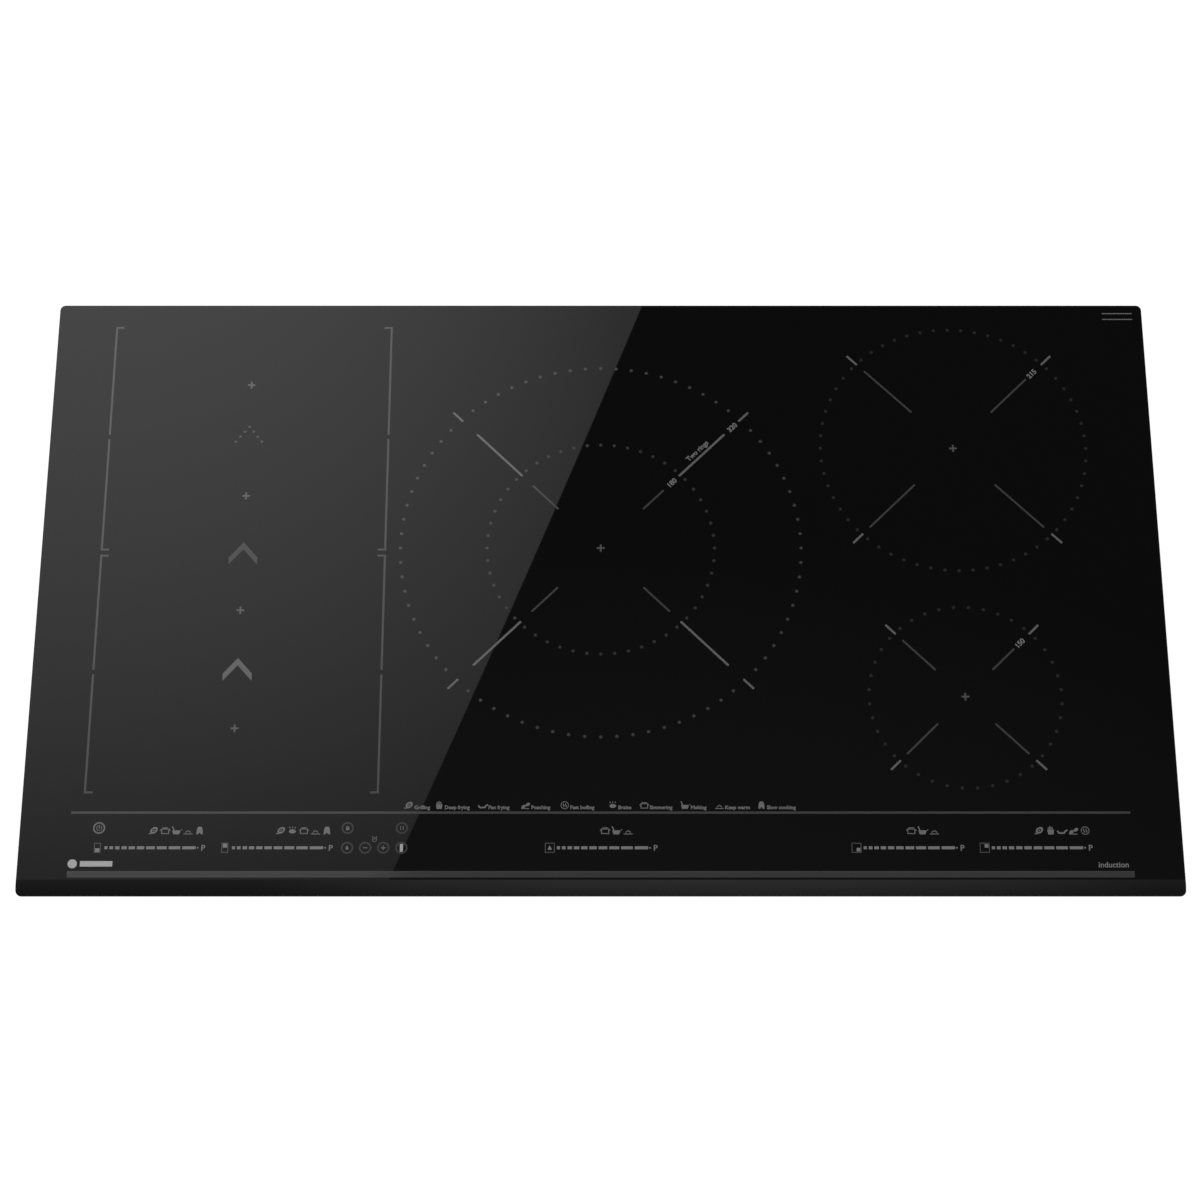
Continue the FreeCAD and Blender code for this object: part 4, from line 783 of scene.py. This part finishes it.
def icon_slow():
    return polygon((-1.3, 3.0), (1.3, 3.0), (2.1, 1.0), (2.4, -2.8), (1.0, -2.8), (0, -1.4), (-1.0, -2.8),
                   (-2.4, -2.8), (-2.1, 1.0))


# Each cooking function: its symbol, its word, and where the symbol stands along the row
FUNCTIONS = (
    (icon_grill, "Grilling", -149.0), (icon_deep_fry, "Deep frying", -125.5), (icon_pan, "Pan frying", -91.5),
    (icon_poach, "Poaching", -58.3), (icon_boil, "Fast boiling", -28.0), (icon_braise, "Braise", 9.3),
    (icon_pot, "Simmering", 33.8), (icon_melt, "Melting", 65.6), (icon_warm, "Keep warm", 92.2),
    (icon_slow, "Slow cooking", 124.8),
)
DIVIDER_HALF_X, DIVIDER_WIDTH, DIVIDER_BEHIND_BOARD = 411.0, 1.9, 2.6
DIVIDER_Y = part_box("touch_board")[1].y / MM + DIVIDER_BEHIND_BOARD
ROW_Y = DIVIDER_Y + 6.0
WORD_HEIGHT, WORD_START, WORD_Y = 2.9, 4.2, DIVIDER_Y + 2.9


def function_row():
    symbols, words = [], []
    for symbol, word, x in FUNCTIONS:
        symbols += placed(symbol(), x, ROW_Y)
        words.append((word, WORD_HEIGHT, x + WORD_START, WORD_Y, {"bold": WORD_BOLD}))
    printed("function_symbols", "symbols", symbols)
    printed("function_words", "lettering", [], words)
    line = bar(-DIVIDER_HALF_X, DIVIDER_HALF_X, DIVIDER_Y - DIVIDER_WIDTH / 2, DIVIDER_Y + DIVIDER_WIDTH / 2)
    printed("divider", "thin_lines", line)


# ---------------------------------------------------------------- sliders and keys
DASHES, FIRST_PITCH, PITCH_GROWTH, DASH_GAP, DASH_WIDTH = 10, 3.85, 1.133, 1.5, 2.4
SLIDER_START, END_DOT_R = -34.9, 0.7
BOOST_AT, BOOST_HEIGHT, ZONE_MARK_AT = 39.6, 4.6, -40.4
SYMBOLS_FROM, SYMBOL_PITCH, SYMBOL_SCALE = 2.4, 8.9, 1.05
SYMBOL_Y = SLIDER_Y + 14.4
TRACK_Y = SLIDER_Y + 0.5


def zone_mark(fill):
    """A small plan of the cooking zones: an outline, and the slider's own part of it filled in."""
    if fill in ("lower", "upper"):
        y0 = -3.4 if fill == "lower" else 0.2
        return window(-2.6, 2.6, -4.0, 4.0, 0.6), bar(-1.7, 1.7, y0, y0 + 3.1)
    square = window(-3.8, 3.8, -4.0, 4.0, 0.6)
    if fill == "middle":
        return square, polygon((-1.8, -1.6), (1.8, -1.6), (0.0, 2.0))
    y0 = -2.9 if fill == "front" else 0.1
    return square, bar(0.0, 2.9, y0, y0 + 2.8)


SLIDER_SYMBOLS = (
    ("lower", (icon_grill, icon_pot, icon_melt, icon_warm, icon_slow)),
    ("upper", (icon_grill, icon_braise, icon_pot, icon_warm, icon_slow)),
    ("middle", (icon_pot, icon_melt, icon_warm)),
    ("front", (icon_pot, icon_melt, icon_warm)),
    ("rear", (icon_grill, icon_deep_fry, icon_pan, icon_poach, icon_boil)),
)


def slider_track():
    """Dashes that grow longer towards full power, then a small dot."""
    shapes = []
    x = SLIDER_START
    for step in range(DASHES):
        pitch = FIRST_PITCH * PITCH_GROWTH ** step
        shapes += bar(x, x + pitch - DASH_GAP, -DASH_WIDTH / 2, DASH_WIDTH / 2)
        x += pitch
    return shapes + placed(disc(END_DOT_R, 8), x)


def sliders():
    tracks, symbols, outlines, letters = [], [], [], []
    for centre, (fill, icons) in zip(SLIDERS, SLIDER_SYMBOLS):
        outline, filled = zone_mark(fill)
        tracks += placed(slider_track(), centre, TRACK_Y) + placed(filled, centre + ZONE_MARK_AT, TRACK_Y)
        outlines += placed(outline, centre + ZONE_MARK_AT, TRACK_Y)
        for i, icon in enumerate(icons):
            at = (centre + SYMBOLS_FROM + SYMBOL_PITCH * i, SYMBOL_Y)
            symbols += placed(icon(), *at, 0.0, SYMBOL_SCALE)
        at = (centre + BOOST_AT, TRACK_Y - BOOST_HEIGHT / 2)
        letters.append(("P", BOOST_HEIGHT, *at, {"bold": WORD_BOLD}))
    printed("slider_tracks", "dashes", tracks)
    printed("slider_letters", "lettering", [], letters)
    printed("slider_zone_outlines", "crosses", outlines)
    printed("slider_symbols", "symbols", symbols)


KEY_R, KEY_RING, KEY_LIFT, CLOCK_LIFT = 4.15, 1.25, 0.5, 7.0


def key_power():
    return bar(-0.45, 0.45, -0.4, 2.3) + arc(2.0, 120, 420, 0.6, 20)


def key_lock():
    return bar(-1.4, 1.4, -1.8, 0.4) + placed(arc(0.95, 0, 180, 0.55, 8), 0, 0.4)


def key_bridge():
    return bar(-1.3, -0.7, -1.7, 1.7) + bar(0.7, 1.3, -1.7, 1.7)


def key_flame():
    return polygon((0.0, 2.0), (-1.3, -0.2), (-0.9, -1.5), (0.9, -1.5), (1.3, -0.2))


def key_minus():
    return bar(-1.7, 1.7, -0.4, 0.4)


def key_plus():
    return cross(3.6, 0.8)


def key_pause():
    return bar(-1.2, 1.2, -3.1, 3.1)


def alarm_clock():
    bells = placed(disc(0.55, 8), -1.5, 2.2) + placed(disc(0.55, 8), 1.5, 2.2)
    return hoop(1.6, 0.5, 20) + bells + bar(-0.25, 0.25, 0.0, 1.1)


def function_keys():
    """Ringed symbols over the touch contacts that lie outside the sliders."""
    ring = hoop(KEY_R, KEY_RING)
    power_x, *upper_xs = UPPER_KEY_XS
    *lower_xs, pause_x = LOWER_KEY_XS[:4]
    keys = [(x, UPPER_KEY_Y, symbol) for x, symbol in zip(upper_xs, (key_lock, key_bridge))]
    keys += [(x, SLIDER_Y, symbol) for x, symbol in zip(lower_xs, (key_flame, key_minus, key_plus))]
    rings, symbols = [], []
    for x, y, symbol in keys:
        rings += placed(ring, x, y + KEY_LIFT)
        symbols += placed(symbol(), x, y + KEY_LIFT)
    power = placed(ring + key_power(), power_x, UPPER_KEY_Y + KEY_LIFT)
    rings += placed(ring, pause_x, SLIDER_Y + KEY_LIFT)
    between = (LOWER_KEY_XS[1] + LOWER_KEY_XS[2]) / 2
    symbols += placed(alarm_clock(), between, SLIDER_Y + CLOCK_LIFT)
    printed("key_rings", "rings", rings)
    printed("key_symbols", "thick_lines", symbols + power)
    printed("key_pause", "badge", placed(key_pause(), pause_x, SLIDER_Y + KEY_LIFT))


BAR_FROM_EDGE, BAR_WIDTH, BAR_EDGE = 14.2, 5.2, 0.9
BADGE_LIFT, BADGE_DISC_R, BADGE_BAR_FROM, BADGE_BAR_TO, BADGE_BAR_HALF = 5.8, 3.6, 9.5, 34.5, 2.2
WORD_FROM_END, WORD_LIFT, PLAIN_WORD_HEIGHT = 27.5, 3.0, 4.4
REAR_LINE_FROM, REAR_LINE_TO, REAR_LINES_BEHIND = 417.0, 442.0, ((8.2, 7.4), (13.6, 12.8))


def front_bar():
    """The grey bar behind the bevel with its brighter far edge, and a plain badge and word behind it."""
    y0 = GLASS_LOW.y / MM + BAR_FROM_EDGE
    y1 = y0 + BAR_WIDTH
    half = DIVIDER_HALF_X
    printed("front_bar", "bar", bar(-half, half, y0, y1 - BAR_EDGE))
    printed("front_bar_edge", "edges", bar(-half, half, y1 - BAR_EDGE, y1))
    badge = disc(BADGE_DISC_R, 32)
    badge = placed(badge, BADGE_DISC_R) + bar(BADGE_BAR_FROM, BADGE_BAR_TO, -BADGE_BAR_HALF, BADGE_BAR_HALF)
    word = ("induction", PLAIN_WORD_HEIGHT, half - WORD_FROM_END, y1 + WORD_LIFT, {"bold": WORD_BOLD})
    printed("badge", "badge", placed(badge, -half, y1 + BADGE_LIFT))
    printed("word", "lettering", [], [word])


def rear_lines():
    """Two thin plain lines in the far right corner."""
    rear = GLASS_HIGH.y / MM
    lines = [bar(REAR_LINE_FROM, REAR_LINE_TO, rear - far, rear - near) for far, near in REAR_LINES_BEHIND]
    printed("rear_lines", "symbols", together(*lines))


# ================================================================ springs and leads, split up coil by coil
# Each coil's name, with which the names of its carrier and its joint begin
COILS = ("flex_rear", "flex_front", "centre", "rear_right", "front_right")
PLATE_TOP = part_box("coil_plate")[1].z
HARNESS_CUT = PLATE_TOP + 0.2 * MM


def keep_inside(mesh, low, high):
    """Leaves only the vertices that stand over the box, seen from above."""
    away = [v for v in mesh.verts if not (low.x < v.co.x < high.x and low.y < v.co.y < high.y)]
    bmesh.ops.delete(mesh, geom=away, context="VERTS")


def smooth(made):
    for face in made.data.polygons:
        face.use_smooth = True


def squashed(made):
    """Gives the piece a mesh of its own."""
    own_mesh(made)


def coil_springs():
    """Each coil's own springs, those that stand under its carrier, as a piece on the hob."""
    for coil in COILS:
        mesh = welded("coil_springs")
        keep_inside(mesh, *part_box(coil + "_carrier"))
        name = "coil_" + coil + "_springs"
        made = piece(name, mesh, "hob", finish_of("spring_steel"))
        squashed(made)
        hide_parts("coil_springs")
        smooth(made)


def cut_harness(keep_above):
    """The harness on one side of a cut just above the coil plate, closed where it is cut."""
    mesh = welded("wiring_harness")
    geometry = mesh.verts[:] + mesh.edges[:] + mesh.faces[:]
    cut = bmesh.ops.bisect_plane(mesh, geom=geometry, plane_co=(0, 0, HARNESS_CUT),
                                 plane_no=(0, 0, 1), clear_inner=keep_above, clear_outer=not keep_above)
    rim = [e for e in cut["geom_cut"] if isinstance(e, bmesh.types.BMEdge)]
    bmesh.ops.holes_fill(mesh, edges=rim, sides=0)
    bmesh.ops.recalc_face_normals(mesh, faces=mesh.faces)
    return mesh


def leads():
    """The leads under the plate as one piece; their tails above it as one piece for each coil."""
    mesh = cut_harness(keep_above=False)
    under = piece("leads_under_plate", mesh, "hob", finish_of("wire_sleeve"))
    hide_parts("wiring_harness")
    smooth(under)
    for coil in COILS:
        mesh = cut_harness(keep_above=True)
        keep_inside(mesh, *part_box(coil + "_carrier"))
        name = "coil_" + coil + "_lead_tails"
        made = piece(name, mesh, "hob", finish_of("wire_sleeve"))
        squashed(made)
        smooth(made)


# ================================================================ studio
CAMERA = Vector((-0.0006, -0.8958, GLASS_TOP + 2.1695))
CAMERA_PITCH, LENS, SENSOR = 67.794, 87.98, 36.0
NEAREST, FARTHEST = 0.05, 60.0
CARD_HEIGHT = 1.5
WHITE = (1.0, 1.0, 1.0)


def seen_from_camera(x, y):
    """Where a card CARD_HEIGHT above the glass meets the camera's ray mirrored at a point of the glass."""
    reach = 1 + CARD_HEIGHT / (CAMERA.z - GLASS_TOP)
    return CAMERA.x + (x - CAMERA.x) * reach, CAMERA.y + (y - CAMERA.y) * reach


def place_on_card(tree):
    at = node(tree, "SeparateXYZ", {"Vector": node(tree, "NewGeometry").outputs["Position"]})
    return at.outputs["X"], at.outputs["Y"]


def stage_sheet(name, points, surface):
    """A flat polygon of the studio; surface(tree) gives the output of its shader."""
    data = bpy.data.meshes.new(name)
    data.from_pydata(points, [], [list(range(len(points)))])
    made = bpy.data.objects.new(name, data)
    bpy.context.scene.collection.objects.link(made)
    look = bpy.data.materials.new(name)
    look.use_nodes = True
    tree = look.node_tree
    tree.nodes.clear()
    node(tree, "OutputMaterial", {"Surface": surface(tree)})
    data.materials.append(look)
    return made


def light_sheet(name, points, radiance):
    """A glowing polygon that lights and is mirrored but isn't seen; radiance(tree) gives its strength."""
    def glow(tree):
        return node(tree, "Emission", {"Color": WHITE, "Strength": radiance(tree)}).outputs[0]

    made = stage_sheet(name, points, glow)
    made.visible_camera = False
    made.visible_shadow = False


# Where the edge of the mirrored card crosses the glass, and how far it bows to the right between
EDGE_FRONT, EDGE_REAR, EDGE_BULGE = (-0.1626, -0.2418), (0.0345, 0.255), 0.0023
EDGE_STEPS, EDGE_STEPS_BEFORE, EDGE_STEPS_AFTER = 12, 1, 3
CARD_LEFT, CARD_STRENGTH = -3.0, 1.42
# Over which part of the glass the card's light falls off, by how much across, and what is left near the user
FALL_X, FALL_Y = (-0.42, 0.02), (0.25, -0.235)
LOST_ACROSS, LEFT_NEAR_USER, SWELL = 0.57, 0.3, 0.2


def window_card():
    """The bright card mirrored in the left of the glass, with a slanting edge across the middle."""
    z = GLASS_TOP + CARD_HEIGHT
    edge = []
    for i in range(-EDGE_STEPS_BEFORE, EDGE_STEPS + EDGE_STEPS_AFTER):
        along_glass = i / EDGE_STEPS
        bulge = EDGE_BULGE * 4 * along_glass * (1 - along_glass)
        x = EDGE_FRONT[0] + (EDGE_REAR[0] - EDGE_FRONT[0]) * along_glass + bulge
        y = EDGE_FRONT[1] + (EDGE_REAR[1] - EDGE_FRONT[1]) * along_glass
        edge.append((*seen_from_camera(x, y), z))
    points = [(CARD_LEFT, edge[0][1], z)] + edge + [(CARD_LEFT, edge[-1][1], z)]

    def radiance(tree):
        """Falls off towards the slanting edge, as a square, and towards the user, in a gentle curve."""
        at_x, at_y = place_on_card(tree)
        left, right = [seen_from_camera(x, 0)[0] for x in FALL_X]
        far, near = [seen_from_camera(0, y)[1] for y in FALL_Y]
        across = spread(tree, at_x, left, right)
        along = spread(tree, at_y, near, far)
        squared = math(tree, "POWER", across, 2.0)
        by_x = math(tree, "SUBTRACT", 1.0, math(tree, "MULTIPLY", squared, LOST_ACROSS))
        swell = math(tree, "MULTIPLY", math(tree, "SUBTRACT", 1.0, along), SWELL)
        gained = math(tree, "MULTIPLY", math(tree, "ADD", swell, 1 - LEFT_NEAR_USER), along)
        by_y = math(tree, "ADD", gained, LEFT_NEAR_USER)
        return math(tree, "MULTIPLY", math(tree, "MULTIPLY", by_x, by_y), CARD_STRENGTH)

    light_sheet("window_card", points, radiance)


def bevel_card():
    """A long card overhead that only the front bevel mirrors."""
    half_x, y, half_y, z = 0.77, -0.38, 0.2, GLASS_TOP + CARD_HEIGHT
    brightest_x, brightest, faintest = 0.136, 0.55, 0.22
    full_from, half_from = y + 0.006, y - 0.014
    points = [(u, v, z) for u, v in corners(-half_x, half_x, y - half_y, y + half_y)]

    def radiance(tree):
        """Falls off to both sides, as a square, and to half towards the user."""
        at_x, at_y = place_on_card(tree)
        off = math(tree, "SUBTRACT", at_x, brightest_x)
        by_x = math(tree, "SUBTRACT", brightest, math(tree, "MULTIPLY", off, off))
        towards_user = spread(tree, at_y, full_from, half_from, 1.0, 0.5)
        return math(tree, "MULTIPLY", math(tree, "MAXIMUM", by_x, faintest), towards_user)

    light_sheet("bevel_card", points, radiance)


def softbox(name, azimuth, elevation, distance, size, radiance):
    """A square glowing panel that faces the hob. Azimuth 0 is the user's side; size is half a side."""
    a, e = radians(azimuth), radians(elevation)
    out = Vector((sin(a) * cos(e), -cos(a) * cos(e), sin(e)))
    side = Vector((cos(a), sin(a), 0))
    up = out.cross(side)
    points = [tuple(out * distance + side * u + up * v) for u, v in corners(-size, size, -size, size)]
    light_sheet(name, points, lambda tree: spread(tree, 0.0, 0.0, 1.0, radiance, radiance))


# What mirrors see of the sky, as its strength from one height to another, and what lights diffuse surfaces
LOW_SKY, HIGH_SKY, DIFFUSE_SKY = (0.0, 0.6, 0.3, 0.03), (0.915, 0.97, 0.0, 0.075), 0.35


def world():
    """White to the camera and dim for diffuse light; mirrors see it darken upwards and lighten overhead."""
    made = bpy.data.worlds.new("studio")
    made.use_nodes = True
    bpy.context.scene.world = made
    tree = made.node_tree
    tree.nodes.clear()
    path = node(tree, "LightPath")
    height = node(tree, "SeparateXYZ", {"Vector": node(tree, "TexCoord").outputs["Generated"]}).outputs["Z"]
    mirrored = math(tree, "ADD", spread(tree, height, *LOW_SKY), spread(tree, height, *HIGH_SKY))
    other = blended(tree, path.outputs["Is Glossy Ray"], grey(DIFFUSE_SKY), mirrored)
    strength = blended(tree, path.outputs["Is Camera Ray"], other, grey(1.0))
    sky = node(tree, "Background", {"Color": strength, "Strength": 1.0})
    node(tree, "OutputWorld", {"Surface": sky.outputs[0]})


FLOOR_DROP, FLOOR_HALF = 95.0 * MM, 6.0
FLOOR_GLOW, FLOOR_GLOW_SEEN, FLOOR_PALENESS = 0.5, 0.97, 0.12


def floor():
    """A white floor that glows on its own for the camera and takes a faint soft shadow.

    It lies far enough below the casing for the wiring cover to hang open, and is clear from beneath.
    """
    def white(tree):
        seen = node(tree, "LightPath").outputs["Is Camera Ray"]
        strength = spread(tree, seen, 0.0, 1.0, FLOOR_GLOW, FLOOR_GLOW_SEEN)
        glow = node(tree, "Emission", {"Strength": strength}).outputs[0]
        matt = node(tree, "BsdfDiffuse", {"Color": grey(FLOOR_PALENESS)}).outputs[0]
        above = node(tree, "AddShader", {0: glow, 1: matt}).outputs[0]
        beneath = node(tree, "BsdfTransparent").outputs[0]
        side = node(tree, "NewGeometry").outputs["Backfacing"]
        return node(tree, "MixShader", {"Fac": side, 1: above, 2: beneath}).outputs[0]

    z = CASING_BOTTOM - FLOOR_DROP
    square = corners(-FLOOR_HALF, FLOOR_HALF, -FLOOR_HALF, FLOOR_HALF)
    stage_sheet("floor", [(x, y, z) for x, y in square], white)


def camera():
    data = bpy.data.cameras.new("camera")
    data.lens, data.sensor_width = LENS, SENSOR
    data.clip_start, data.clip_end = NEAREST, FARTHEST
    made = bpy.data.objects.new("camera", data)
    made.location = CAMERA
    made.rotation_euler = (radians(90 - CAMERA_PITCH), 0, 0)
    bpy.context.scene.collection.objects.link(made)
    bpy.context.scene.camera = made


# ================================================================ the hob, put together
dress_nodes()
coil_springs()
leads()
dual_zone()
for zone, prints in SINGLE_ZONES.items():
    round_zone(zone, **prints)
flex_zone()
function_row()
sliders()
function_keys()
front_bar()
rear_lines()

world()
floor()
window_card()
bevel_card()
softbox("softbox_front_left", azimuth=-50, elevation=26, distance=2.6, size=0.8, radiance=2.4)
softbox("softbox_right", azimuth=75, elevation=26, distance=2.6, size=0.8, radiance=2.0)
softbox("softbox_rear", azimuth=190, elevation=26, distance=2.8, size=0.9, radiance=2.2)
camera()
bpy.context.scene.view_settings.view_transform = "Standard"
